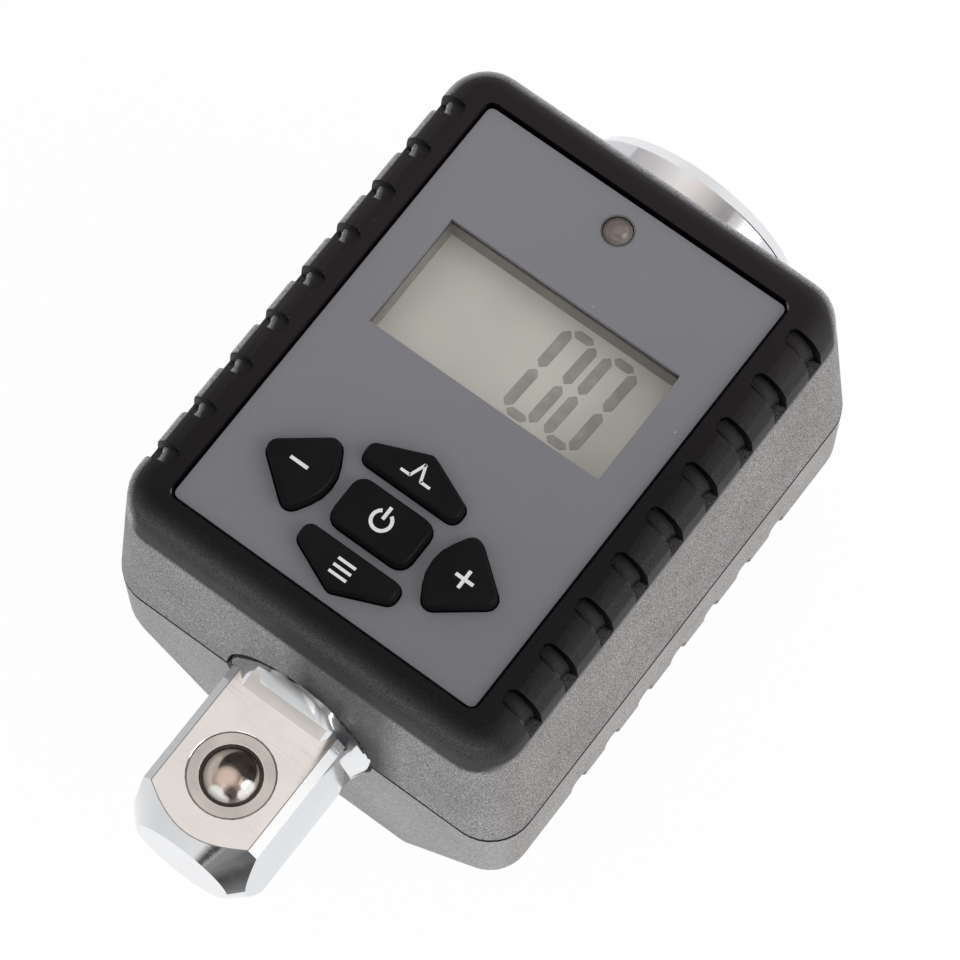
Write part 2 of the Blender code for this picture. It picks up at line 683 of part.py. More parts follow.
def lip_band(name, inner, outer, low, high):
    # The joint's lip, open where the shaft passes through the ends
    bm = bmesh.new()
    bands = []
    for reach in (outer, inner):
        corners = rectangle(HALF_WIDTH - reach, HALF_LENGTH - reach, CORNER_RADIUS - reach)
        bands.append(rounded_outline(corners))
    stack(bm, [flat_ring(bands[0], low), flat_ring(bands[0], high)])
    band = add_cutter(name, bm)
    core = bmesh.new()
    stack(core, [flat_ring(bands[1], low - WALL), flat_ring(bands[1], high + WALL)])
    combine(band, add_cutter(name + "_core", core))
    gate = bmesh.new()
    reach = saddle_radius(1) + SEAT_GAP
    box(gate, (-reach, -2 * HALF_LENGTH, low - WALL), (reach, 2 * HALF_LENGTH, high + WALL))
    combine(band, add_cutter(name + "_gate", gate))
    return band


def saddle_span(end):
    # Inner and outer distance along of the saddle at one end: -1 is the front, 1 the back
    length = FRONT_SADDLE_LENGTH if end < 0 else REAR_SADDLE_LENGTH
    outer = end * (HALF_LENGTH - WALL / 2)
    inner = end * (HALF_LENGTH - WALL - length)
    return inner, outer


def saddle_radius(end):
    journal = FRONT_JOURNAL_RADIUS if end < 0 else REAR_JOURNAL_RADIUS
    return journal + SADDLE_WALL


def saddles(name, upper):
    # Half rings inside the end walls that hold the shaft's journals
    bm = bmesh.new()
    for end in (-1, 1):
        inner, outer = saddle_span(end)
        level = SHAFT_HEIGHT + (SEAT_GAP / 2 if upper else -SEAT_GAP / 2)
        lean = 1 if upper else -1
        rings = []
        for along in sorted((inner, outer)):
            ring = []
            for step in range(ROUND_STEPS // 2 + 1):
                angle = math.pi * step / (ROUND_STEPS // 2)
                x = saddle_radius(end) * math.cos(angle)
                ring.append((x, along, level + lean * saddle_radius(end) * math.sin(angle)))
            rings.append(ring)
        stack(bm, rings)
    return add_cutter(name, bm)


def shaft_bores():
    # Clearance round both journals, and round the flare that leads into the rear one
    bm = bmesh.new()
    front = FRONT_JOURNAL_RADIUS + SEAT_GAP
    rear = REAR_JOURNAL_RADIUS + SEAT_GAP
    barrel(bm, [(-HALF_LENGTH - WALL, front), (-HALF_LENGTH + 2 * WALL + FRONT_SADDLE_LENGTH, front)])
    start = (GAUGE_END - SEAT_GAP, GAUGE_ACROSS * 0.7)
    barrel(bm, [start, (REAR_JOURNAL_START - SEAT_GAP, rear), (HALF_LENGTH + WALL, rear)])
    return add_cutter("cut_shaft_bores", bm)


def seal_place(end):
    return end * (HALF_LENGTH - WALL - SEAL_INSET)


def seal_grooves():
    bm = bmesh.new()
    for end, journal in ((-1, FRONT_JOURNAL_RADIUS), (1, REAR_JOURNAL_RADIUS)):
        radius = journal + 2 * SEAL_GAP + 2 * SEAL_WIRE
        middle = seal_place(end)
        width = SEAL_WIRE + SEAL_GAP
        barrel(bm, [(middle - width, radius), (middle + width, radius)])
    return add_cutter("cut_seal_grooves", bm)


def screw_places():
    return [(x, y) for x in (-SCREW_X, SCREW_X) for y in (-SCREW_Y, SCREW_Y)]


def upper_posts():
    # Screw bosses down to the parting plane, and shorter posts for the board
    bm = bmesh.new()
    foot = SHAFT_HEIGHT + SEAT_GAP / 2
    for place in screw_places():
        pillar(bm, [(foot, BOSS_RADIUS), (CEILING + DECK_THICK / 2, BOSS_RADIUS)], middle=place)
    for x in (-BOARD_SCREW_X, BOARD_SCREW_X):
        post = [(BOARD_TOP + SEAT_GAP, BOARD_POST_RADIUS), (CEILING + DECK_THICK / 2, BOARD_POST_RADIUS)]
        pillar(bm, post, middle=(x, BOARD_SCREW_Y))
    return add_cutter("add_upper_posts", bm)


def upper_pilots():
    bm = bmesh.new()
    radius = SCREW_RADIUS + BOND_GAP
    for place in screw_places():
        top = SHAFT_HEIGHT + SCREW_BITE + SEAT_GAP
        pillar(bm, [(SHAFT_HEIGHT - WALL, radius), (top, radius)], 12, place)
    for x in (-BOARD_SCREW_X, BOARD_SCREW_X):
        top = BOARD_TOP + BOARD_SCREW_BITE + 2 * SEAT_GAP
        pillar(bm, [(BOARD_TOP - WALL, radius), (top, radius)], 12, (x, BOARD_SCREW_Y))
    return add_cutter("cut_upper_pilots", bm)


def pin_place():
    return (0.0, -HALF_LENGTH + WALL + PIN_FROM_WALL)


def pin_bottom():
    return SHAFT_HEIGHT + FRONT_JOURNAL_RADIUS - PIN_BITE


def pin_hole(name, radius):
    bm = bmesh.new()
    low = pin_bottom() - SEAT_GAP
    high = pin_bottom() + PIN_LENGTH + SEAT_GAP
    pillar(bm, [(low, radius), (high, radius)], 12, pin_place())
    return add_cutter(name, bm)


def make_upper_housing(material):
    housing = add_piece("upper_housing", stack(bmesh.new(), upper_outer_rings()), material)
    combine(housing, upper_cavity())
    combine(housing, saddles("add_upper_saddles", True), "UNION")
    combine(housing, upper_posts(), "UNION")
    rebate = LIP_THICK + SEAT_GAP
    top = SHAFT_HEIGHT + LIP_HEIGHT + SEAT_GAP
    combine(housing, lip_band("cut_joint_rebate", WALL + BOND_GAP, WALL - rebate, SHAFT_HEIGHT - WALL, top))
    combine(housing, shaft_bores())
    combine(housing, seal_grooves())
    combine(housing, upper_pilots())
    combine(housing, pin_hole("cut_pin_hole", PIN_RADIUS + BOND_GAP))
    combine(housing, panel_recess())
    combine(housing, lens_pocket())
    combine(housing, front_openings())
    size = (NOTCH_WIDTH, NOTCH_DEPTH)
    combine(housing, notch_cutter("cut_upper_notches", UPPER_NOTCHES, upper_notch_section, size))
    return housing


def lower_cavity():
    bm = bmesh.new()
    radius = CORNER_RADIUS - WALL
    high = rounded_outline(rectangle(HALF_WIDTH - WALL, HALF_LENGTH - WALL, radius))
    low = rounded_outline(rectangle(wall_half_width(ROOF_TOP) - WALL, HALF_LENGTH - WALL, radius))
    stack(bm, [flat_ring(low, ROOF_TOP), flat_ring(high, SHAFT_HEIGHT + WALL)])
    return add_cutter("cut_lower_cavity", bm)


def side_pockets():
    # Hollows beside the battery bay that keep the chamfered walls an even thickness
    bm = bmesh.new()
    inner = COVER_HALF_WIDTH + RAIL_WIDTH + SEAT_GAP + WALL
    outer = wall_half_width(ROOF_TOP) - WALL
    depth = (outer - inner) * CHAMFER_DOWN / CHAMFER_IN
    half = SCREW_Y - BOSS_RADIUS - WALL
    floor = CHAMFER_DOWN - depth
    for side in (-1, 1):
        top = ROOF_TOP + WALL
        profile = [(inner, floor), (outer, CHAMFER_DOWN), (outer, top), (inner, top)]
        stack(bm, [[(side * x, along, z) for x, z in profile] for along in (-half, half)])
    return add_cutter("cut_side_pockets", bm)


def lower_bosses():
    bm = bmesh.new()
    for place in screw_places():
        pillar(bm, [(ROOF_TOP - WALL, BOSS_RADIUS), (SHAFT_HEIGHT - SEAT_GAP / 2, BOSS_RADIUS)], middle=place)
    return add_cutter("add_lower_bosses", bm)


def lower_screw_holes():
    # Counterbores that come in through the chamfers, with clearance holes up to the parting plane
    bm = bmesh.new()
    wide = SCREW_HEAD_RADIUS + SEAT_GAP
    narrow = SCREW_RADIUS + SEAT_GAP
    for place in screw_places():
        stages = [(-WALL, wide), (SCREW_SEAT_HEIGHT, wide)]
        stages += [(SCREW_SEAT_HEIGHT, narrow), (SHAFT_HEIGHT + WALL, narrow)]
        pillar(bm, stages, middle=place)
    return add_cutter("cut_screw_holes", bm)


def battery_bay():
    bm = bmesh.new()
    half = COVER_HALF_WIDTH
    box(bm, (-half, -BAY_HALF_LENGTH, RAIL_BOTTOM), (half, BAY_HALF_LENGTH, ROOF_BOTTOM))
    return add_cutter("cut_battery_bay", bm)


def cover_track():
    # The cover's plate opening and its rail grooves, open at the back so that it slides out
    bm = bmesh.new()
    plate = COVER_HALF_WIDTH + SEAT_GAP
    groove = COVER_HALF_WIDTH + RAIL_WIDTH + SEAT_GAP
    front = COVER_FRONT - SEAT_GAP
    back = HALF_LENGTH + WALL
    low = RAIL_BOTTOM - SEAT_GAP
    high = RAIL_TOP + SEAT_GAP
    profile = [(-plate, -WALL), (plate, -WALL), (plate, low), (groove, low), (groove, high)]
    profile += [(-groove, high), (-groove, low), (-plate, low)]
    stack(bm, [[(x, along, z) for x, z in profile] for along in (front, back)])
    return add_cutter("cut_cover_track", bm)


def lead_place(side):
    inset = CELL_MARGIN + SEAT_GAP + LEAD_RADIUS
    return (side * (COVER_HALF_WIDTH - inset), LEAD_FROM_CONTACT - BAY_HALF_LENGTH)


def lead_holes():
    bm = bmesh.new()
    for side in (-1, 1):
        radius = LEAD_RADIUS + SEAT_GAP
        pillar(bm, [(ROOF_BOTTOM - WALL, radius), (ROOF_TOP + WALL, radius)], 12, lead_place(side))
    return add_cutter("cut_lead_holes", bm)


def make_lower_housing(material):
    housing = add_piece("lower_housing", stack(bmesh.new(), lower_outer_rings()), material)
    combine(housing, lower_cavity())
    combine(housing, side_pockets())
    combine(housing, saddles("add_lower_saddles", False), "UNION")
    combine(housing, lower_bosses(), "UNION")
    level = SHAFT_HEIGHT + LIP_HEIGHT
    combine(housing, lip_band("add_joint_lip", WALL, WALL - LIP_THICK, SHAFT_HEIGHT - WALL, level), "UNION")
    combine(housing, bpy.data.objects["cut_shaft_bores"])
    combine(housing, bpy.data.objects["cut_seal_grooves"])
    combine(housing, battery_bay())
    combine(housing, cover_track())
    combine(housing, lead_holes())
    combine(housing, lower_screw_holes())
    size = (LOWER_NOTCH_WIDTH, LOWER_NOTCH_DEPTH)
    combine(housing, notch_cutter("cut_lower_notches", LOWER_NOTCHES, lower_notch_section, size))
    return housing


def make_front_panel(material):
    bm = bmesh.new()
    outline = rounded_outline(rectangle(PANEL_WIDTH / 2, PANEL_LENGTH / 2, PANEL_RADIUS, (0, PANEL_SHIFT)))
    stack(bm, [flat_ring(outline, PANEL_BOTTOM), flat_ring(outline, PANEL_TOP)])
    panel = add_piece("front_panel", bm, material)
    cut = bmesh.new()
    low, high = PANEL_BOTTOM - WALL, PANEL_TOP + WALL
    key_openings(cut, low, high)
    window = [(WINDOW_WIDTH / 2, WINDOW_LENGTH / 2), (-WINDOW_WIDTH / 2, WINDOW_LENGTH / 2)]
    window += [(-WINDOW_WIDTH / 2, -WINDOW_LENGTH / 2), (WINDOW_WIDTH / 2, -WINDOW_LENGTH / 2)]
    window = [(x, y + WINDOW_CENTRE) for x, y in window]
    stack(cut, [flat_ring(window, low), flat_ring(window, high)])
    pillar(cut, [(low, LED_RADIUS + BOND_GAP), (high, LED_RADIUS + BOND_GAP)], middle=(0, LED_PLACE))
    combine(panel, add_cutter("cut_panel_openings", cut))


def make_window_lens(material):
    outline = lens_outline(0.0)
    bm = stack(bmesh.new(), [flat_ring(outline, LENS_BOTTOM), flat_ring(outline, DECK_TOP)])
    add_piece("window_lens", bm, material)


def make_display(frame_material, glass_material, strip_material):
    half_width = GLASS_WIDTH / 2 + SEAT_GAP + FRAME_WALL
    outline = rounded_outline(rectangle(half_width, FRAME_HALF_LENGTH, WINDOW_CORNER, (0, WINDOW_CENTRE)))
    foot = BOARD_TOP + SEAT_GAP
    block = stack(bmesh.new(), [flat_ring(outline, foot), flat_ring(outline, FRAME_TOP)])
    frame = add_piece("lcd_frame", block, frame_material)
    cut = bmesh.new()
    lip = GLASS_TOP + SEAT_GAP
    middle = (0, WINDOW_CENTRE)
    glass_corners = rectangle(GLASS_WIDTH / 2, GLASS_LENGTH / 2, WINDOW_CORNER, middle)
    pocket = rounded_outline(glass_corners, grow=SEAT_GAP)
    sight = rectangle(WINDOW_WIDTH / 2 + SEAT_GAP, WINDOW_LENGTH / 2 + SEAT_GAP, WINDOW_CORNER, middle)
    sight = rounded_outline(sight)
    rings = [flat_ring(pocket, foot - WALL), flat_ring(pocket, lip)]
    rings += [flat_ring(sight, lip), flat_ring(sight, FRAME_TOP + WALL)]
    stack(cut, rings)
    combine(frame, add_cutter("cut_lcd_frame", cut))
    low_y = WINDOW_CENTRE - GLASS_LENGTH / 2
    glass = bmesh.new()
    box(glass, (-GLASS_WIDTH / 2, low_y, GLASS_BOTTOM), (GLASS_WIDTH / 2, low_y + GLASS_LENGTH, GLASS_TOP))
    add_piece("lcd_glass", glass, glass_material)
    strip = bmesh.new()
    half = GLASS_WIDTH / 2 - FRAME_WALL
    near = low_y + SEAT_GAP
    box(strip, (-half, near, ZEBRA_TOP - ZEBRA_HEIGHT), (half, near + ZEBRA_WIDTH, ZEBRA_TOP))
    add_piece("zebra_strip", strip, strip_material)


def board_outline():
    # A rectangle with its corners cut away round the screw bosses
    inner_x = SCREW_X - BOSS_RADIUS - SEAT_GAP
    inner_y = SCREW_Y - BOSS_RADIUS - SEAT_GAP
    return plus_outline(BOARD_HALF_WIDTH, BOARD_HALF_LENGTH, inner_x, inner_y)


def plus_outline(half_width, half_length, inner_x, inner_y):
    return [
        (half_width, -inner_y), (half_width, inner_y), (inner_x, inner_y), (inner_x, half_length),
        (-inner_x, half_length), (-inner_x, inner_y), (-half_width, inner_y), (-half_width, -inner_y),
        (-inner_x, -inner_y), (-inner_x, -half_length), (inner_x, -half_length), (inner_x, -inner_y),
    ]


def make_board(material):
    outline = board_outline()
    bm = stack(bmesh.new(), [flat_ring(outline, BOARD_BOTTOM), flat_ring(outline, BOARD_TOP)])
    board = add_piece("circuit_board", bm, material)
    cut = bmesh.new()
    for x in (-BOARD_SCREW_X, BOARD_SCREW_X):
        radius = SCREW_RADIUS + SEAT_GAP
        pillar(cut, [(BOARD_BOTTOM - WALL, radius), (BOARD_TOP + WALL, radius)], 12, (x, BOARD_SCREW_Y))
    combine(board, add_cutter("cut_board_holes", cut))


def make_board_parts(buzzer_material, chip_material):
    top = BOARD_BOTTOM - SEAT_GAP
    low = top - BUZZER_HEIGHT
    stages = [(low, BUZZER_RADIUS - BUZZER_EDGE), (low + BUZZER_EDGE, BUZZER_RADIUS), (top, BUZZER_RADIUS)]
    bm = pillar(bmesh.new(), stages, 28)
    add_piece("buzzer", bm, buzzer_material, (BUZZER_FROM_EDGE - BOARD_HALF_WIDTH, WINDOW_CENTRE, 0))
    chip = bmesh.new()
    box(chip, (-CHIP_SIZE / 2, -CHIP_SIZE / 2, top - CHIP_THICK), (CHIP_SIZE / 2, CHIP_SIZE / 2, top))
    place = (BOARD_HALF_WIDTH - CHIP_FROM_EDGE, CHIP_FROM_END - BOARD_HALF_LENGTH, 0)
    add_piece("controller_chip", chip, chip_material, place)


def make_led(material):
    top = PANEL_TOP + LED_RISE
    flange = BOARD_TOP + LED_STAND_OFF
    ledge = flange + LED_FLANGE_THICK
    shoulder = top - LED_RADIUS
    stages = [(flange, LED_RADIUS + LED_FLANGE), (ledge, LED_RADIUS + LED_FLANGE)]
    stages += [(ledge, LED_RADIUS), (shoulder, LED_RADIUS)]
    for angle in (25, 50, 70):
        turn = math.radians(angle)
        stages.append((shoulder + LED_RADIUS * math.sin(turn), LED_RADIUS * math.cos(turn)))
    led = add_piece("status_led", pillar(bmesh.new(), stages), material, (0, LED_PLACE, 0))
    legs = bmesh.new()
    leg = LED_LEG_THICK / 2
    for x in (-LED_LEG_PITCH / 2, LED_LEG_PITCH / 2):
        low = (x - leg, LED_PLACE - leg, BOARD_TOP + SEAT_GAP)
        box(legs, low, (x + leg, LED_PLACE + leg, flange + LED_FLANGE_THICK / 2))
    combine(led, add_cutter("add_led_legs", legs), "UNION")


def make_keys(key_material, dome_material):
    top = PANEL_TOP + KEY_RISE
    flange_top = CEILING - SEAT_GAP
    flange_low = flange_top - KEY_FLANGE_THICK
    dome_low = BOARD_TOP + SEAT_GAP
    stem_low = dome_low + DOME_HEIGHT + SEAT_GAP
    stages = [
        (flange_low, KEY_FLANGE - KEY_GAP),
        (flange_top, KEY_FLANGE - KEY_GAP),
        (flange_top, -KEY_GAP),
        (top - KEY_EDGE, -KEY_GAP),
        (top - KEY_EDGE * 0.3, -KEY_GAP - KEY_EDGE * 0.3),
        (top, -KEY_GAP - KEY_EDGE),
    ]
    for name, (middle, corners) in key_corners().items():
        bm = bmesh.new()
        slim = [(x * 0.35, y * 0.35) for x, y in rounded_outline(corners)]
        rings = [flat_ring(slim, stem_low), flat_ring(slim, flange_low)]
        rings += [flat_ring(rounded_outline(corners, grow=grow), height) for height, grow in stages]
        add_piece(name, stack(bm, rings), key_material, (*middle, 0))
        dome = bmesh.new()
        rise = [(0.0, 1.0), (0.45, 0.94), (0.8, 0.7), (1.0, 0.35)]
        pillar(dome, [(dome_low + DOME_HEIGHT * up, DOME_RADIUS * wide) for up, wide in rise])
        add_piece(name.replace("key", "dome"), dome, dome_material, (*middle, 0))


def shaft_stages():
    front = [
        (SEAT_GAP - HALF_LENGTH, FRONT_JOURNAL_RADIUS),
        (SHOULDER_Y + FRONT_JOURNAL_LENGTH, FRONT_JOURNAL_RADIUS),
    ]
    collar = HALF_LENGTH + SEAT_GAP
    rear = [
        (REAR_JOURNAL_START, REAR_JOURNAL_RADIUS),
        (collar, REAR_JOURNAL_RADIUS),
        (collar, COLLAR_RADIUS - SHOULDER_CHAMFER),
        (collar + SHOULDER_CHAMFER, COLLAR_RADIUS),
        (COLLAR_END - COLLAR_CHAMFER_LENGTH, COLLAR_RADIUS),
        (COLLAR_END, COLLAR_RADIUS - COLLAR_CHAMFER),
    ]
    return front, rear


def root_rings():
    # The journal's end with four flats on it, which fall in a bend to the faces of the square
    rings = []
    stages = [
        (ROOT_REACH, -ROOT_BURY, ROOT_RADIUS),
        (ROOT_BEND, ROOT_BEND_RISE, ROOT_RADIUS),
        (ROOT_END, ROOT_RISE, FRONT_JOURNAL_RADIUS),
    ]
    for reach, rise, radius in stages:
        half = DRIVE_HALF + rise
        ring = []
        for x, along, z in shaft_ring(-HALF_LENGTH - reach, radius):
            height = max(-half, min(half, z - SHAFT_HEIGHT))
            ring.append((max(-half, min(half, x)), along, SHAFT_HEIGHT + height))
        rings.append(ring)
    return rings


def male_square():
    # The drive's square bar, trimmed by a turned cone at the tip
    half, cut = DRIVE_HALF, DRIVE_HALF - DRIVE_CHAMFER
    right = [(half, -cut), (half, cut), (cut, half), (-cut, half)]
    outline = right + [(-x, -z) for x, z in right]
    bm = bmesh.new()
    ends = (TIP_Y, -HALF_LENGTH - ROOT_BEND)
    stack(bm, [[(x, along, SHAFT_HEIGHT + z) for x, z in outline] for along in ends])
    square = add_cutter("add_male_square", bm)
    wide = DRIVE_HALF * math.sqrt(2)
    cone = [(TIP_Y, TIP_RADIUS), (TIP_Y + wide - TIP_RADIUS, wide), (SHOULDER_Y + WALL, wide)]
    combine(square, add_cutter("keep_tip_cone", barrel(bmesh.new(), cone)), "INTERSECT")
    return square


def ball_pocket():
    # A shallow dish, a lip that keeps the ball in, and a bore down to the spring's seat
    depths = [
        (-OVERCUT, DISH_RADIUS + DISH_SLOPE * OVERCUT / DISH_DEPTH),
        (DISH_DEPTH, DISH_RADIUS - DISH_SLOPE),
        (DISH_DEPTH, MOUTH_RADIUS),
        (KEEPER_TOP, KEEPER_RADIUS),
        (KEEPER_BOTTOM, KEEPER_RADIUS),
        (KEEPER_BOTTOM + POCKET_RADIUS - KEEPER_RADIUS, POCKET_RADIUS),
        (POCKET_DEPTH, POCKET_RADIUS),
    ]
    bm = pillar(bmesh.new(), [(FLAT_HEIGHT - depth, radius) for depth, radius in depths], 32, (0, BALL_Y))
    return add_cutter("cut_ball_pocket", bm)


def socket_cutter():
    # The female square with a turned lead-in at its mouth
    bm = bmesh.new()
    half = SOCKET_ACROSS / 2
    outline = rounded_outline(rectangle(half, half, SOCKET_CORNER), 3)
    bottom = COLLAR_END - SOCKET_DEPTH
    stack(bm, [[(x, along, SHAFT_HEIGHT + z) for x, z in outline] for along in (bottom, COLLAR_END + WALL)])
    socket = add_cutter("cut_socket", bm)
    lead = half + SOCKET_LEAD_IN
    cone = [(COLLAR_END - lead / 2, lead / 2), (COLLAR_END, lead), (COLLAR_END + WALL, lead)]
    combine(socket, add_cutter("add_socket_lead_in", barrel(bmesh.new(), cone)), "UNION")
    return socket


def make_shaft(material):
    front, rear = shaft_stages()
    rings = root_rings() + [shaft_ring(*stage) for stage in front]
    rings.append(square_ring(GAUGE_START, GAUGE_ACROSS, GAUGE_CORNER))
    rings.append(square_ring(GAUGE_END, GAUGE_ACROSS, GAUGE_CORNER))
    rings += [shaft_ring(*stage) for stage in rear]
    shaft = add_piece("torsion_shaft", stack(bmesh.new(), rings), material)
    combine(shaft, male_square(), "UNION")
    combine(shaft, ball_pocket())
    combine(shaft, socket_cutter())
    combine(shaft, pin_hole("cut_shaft_pin_hole", PIN_RADIUS + SEAT_GAP))


def make_detent(ball_material, spring_material):
    bm = bmesh.new()
    bmesh.ops.create_uvsphere(bm, u_segments=20, v_segments=12, radius=BALL_RADIUS)
    add_piece("detent_ball", bm, ball_material, (0, BALL_Y, FLAT_HEIGHT - BALL_SINK))
    low = POCKET_BOTTOM + SEAT_GAP + DETENT_WIRE
    high = FLAT_HEIGHT - BALL_SINK - BALL_RADIUS - SEAT_GAP / 2
    coil = helix(DETENT_SPRING_RADIUS, low, high, 3.5, 10)
    spring = tube("detent_spring", coil, DETENT_WIRE, spring_material)
    spring.location = (0, BALL_Y, 0)


def make_seals(material):
    for name, end, journal in (
        ("front_seal", -1, FRONT_JOURNAL_RADIUS),
        ("rear_seal", 1, REAR_JOURNAL_RADIUS),
    ):
        bm = bmesh.new()
        major = journal + SEAL_GAP + SEAL_WIRE
        turns = [math.tau * k / 6 for k in range(6)]
        hoop = [(SEAL_WIRE * math.cos(t), SEAL_WIRE * math.sin(t)) for t in turns]
        verts = [bm.verts.new((major + x, y, 0)) for x, y in hoop]
        edges = [bm.edges.new((verts[k - 1], verts[k])) for k in range(6)]
        bmesh.ops.spin(bm, geom=verts + edges, axis=(0, 1, 0), cent=(0, 0, 0), angle=math.tau, steps=28)
        bmesh.ops.remove_doubles(bm, verts=bm.verts, dist=1e-6)
        add_piece(name, bm, material, (0, seal_place(end), SHAFT_HEIGHT))


def make_pin(material):
    bm = pillar(bmesh.new(), [(0, PIN_RADIUS), (PIN_LENGTH, PIN_RADIUS)], 12)
    add_piece("locating_pin", bm, material, (*pin_place(), pin_bottom()))


def make_gauges(material):
    for name, side in (("strain_gauge_left", -1), ("strain_gauge_right", 1)):
        bm = bmesh.new()
        corner = Vector((GAUGE_THICK, GAUGE_LENGTH, GAUGE_HEIGHT)) / 2
        box(bm, -corner, corner)
        x = side * (GAUGE_ACROSS / 2 + BOND_GAP + GAUGE_THICK / 2)
        add_piece(name, bm, material, (x, gauge_middle(), SHAFT_HEIGHT))


def gauge_middle():
    return (GAUGE_START + GAUGE_END) / 2


def make_cells(material):
    for name, side in (("battery_left", -1), ("battery_right", 1)):
        # Each plus pole points the other way; the right one faces forward
        facing = -side
        middle = facing * SPRING_LENGTH / 2
        length = CELL_LENGTH - CELL_NUB_LENGTH
        stages = [
            (-CELL_LENGTH / 2, CELL_RADIUS),
            (-CELL_LENGTH / 2 + length, CELL_RADIUS),
            (-CELL_LENGTH / 2 + length, CELL_NUB_RADIUS),
            (CELL_LENGTH / 2, CELL_NUB_RADIUS),
        ]
        rings = []
        for along, radius in stages:
            rings.append([(x, facing * along + middle, z) for x, z in circle(radius, 28)])
        add_piece(name, stack(bmesh.new(), rings), material, (side * CELL_SPACING / 2, 0, CELL_HEIGHT))


def make_contacts(plate_material, spring_material):
    half = CONTACT_WIDTH / 2
    thick = CONTACT_THICK / 2
    tall = CONTACT_HEIGHT / 2
    for name, side in (("contact_minus", -1), ("contact_plus", 1)):
        bm = box(bmesh.new(), (-half, -thick, -tall), (half, thick, tall))
        add_piece(name, bm, plate_material, (side * CELL_SPACING / 2, -CONTACT_Y, CELL_HEIGHT))
    span = CELL_SPACING / 2 + half
    bm = box(bmesh.new(), (-span, -thick, -tall), (span, thick, tall))
    add_piece("contact_bridge", bm, plate_material, (0, CONTACT_Y, CELL_HEIGHT))
    for name, side, end in (("contact_spring_front", -1, -1), ("contact_spring_rear", 1, 1)):
        face = CONTACT_Y - thick - SEAT_GAP / 2 - CONTACT_WIRE
        near = face - SPRING_LENGTH + 2 * CONTACT_WIRE
        coil = helix(CONTACT_COIL_RADIUS, near, face, 1.5, 12)
        points = [(x + side * CELL_SPACING / 2, end * along, CELL_HEIGHT + y) for x, y, along in coil]
        tube(name, points, CONTACT_WIRE, spring_material)


def make_battery_leads(red, black):
    # From each contact up through its hole in the bay's roof to the board
    for name, side, material in (("battery_lead_minus", -1, black), ("battery_lead_plus", 1, red)):
        x, y = lead_place(side)
        tag = CELL_SPACING / 2 + CONTACT_WIDTH / 2 + SEAT_GAP + LEAD_RADIUS
        far = side * (BOARD_HALF_WIDTH - LEAD_FROM_EDGE)
        knots = [
            (side * tag, -CONTACT_Y, CELL_HEIGHT + CONTACT_HEIGHT / 3),
            (x, y - LEAD_SWAY, ROOF_BOTTOM - LEAD_SWAY),
            (x, y, ROOF_TOP),
            (far, y + LEAD_RUN / 4, SHAFT_HEIGHT - LEAD_SWAY),
            (far + side * LEAD_SWAY / 2, y + LEAD_RUN, BOARD_BOTTOM - LEAD_RUN),
            (far, y + LEAD_RUN, BOARD_BOTTOM - SEAT_GAP),
        ]
        tube(name, smooth_route(knots), LEAD_RADIUS, material)


def make_gauge_leads(material):
    y = gauge_middle()
    for name, side in (("gauge_lead_left", -1), ("gauge_lead_right", 1)):
        face = side * (GAUGE_ACROSS / 2 + BOND_GAP + GAUGE_THICK + SEAT_GAP + LEAD_RADIUS)
        knots = [
            (face, y, SHAFT_HEIGHT),
            (face + side * LEAD_SWAY, y - LEAD_RUN / 6, SHAFT_HEIGHT + LEAD_RUN * 2 / 3),
            (face + side * LEAD_SWAY, y - LEAD_RUN / 3, BOARD_BOTTOM - LEAD_RUN * 2 / 3),
            (face, y - LEAD_RUN / 2, BOARD_BOTTOM - SEAT_GAP),
        ]
        tube(name, smooth_route(knots), LEAD_RADIUS, material)


def make_cover(material):
    # A plate with a rail along each side, and ridges for the thumb at its back end
    half = COVER_HALF_WIDTH
    rail = half + RAIL_WIDTH
    inner = half - RAIL_INSET
    profile = [
        (-half, COVER_SINK), (half, COVER_SINK), (half, RAIL_BOTTOM), (rail, RAIL_BOTTOM), (rail, RAIL_TOP),
        (inner, RAIL_TOP), (inner, RAIL_BOTTOM), (-inner, RAIL_BOTTOM), (-inner, RAIL_TOP), (-rail, RAIL_TOP),
        (-rail, RAIL_BOTTOM), (-half, RAIL_BOTTOM),
    ]
    bm = bmesh.new()
    stack(bm, [[(x, along, z) for x, z in profile] for along in (COVER_FRONT, COVER_BACK)])
    cover = add_piece("battery_cover", bm, material)
    cut = bmesh.new()
    reach = half * 0.6
    for along in spread(RIDGE_COUNT, RIDGE_PITCH, COVER_BACK - RIDGES_FROM_END):
        low = (-reach, along - RIDGE_PITCH / 4, COVER_SINK - WALL)
        box(cut, low, (reach, along + RIDGE_PITCH / 4, COVER_SINK + RIDGE_DEPTH))
    combine(cover, add_cutter("cut_cover_ridges", cut))


def screw_mesh(name, length, material):
    # A pan-headed screw pointing up, its head's underside at height 0
    head = SCREW_HEAD_RADIUS
    stages = [(-SCREW_HEAD_THICK, head * 0.8), (-SCREW_HEAD_THICK * 0.7, head), (0, head)]
    stages += [(0, SCREW_RADIUS), (length - SCREW_RADIUS, SCREW_RADIUS), (length, SCREW_RADIUS * 0.4)]
    mesh = mesh_from(name, pillar(bmesh.new(), stages, SCREW_STEPS))
    mesh.materials.append(material)
    return mesh


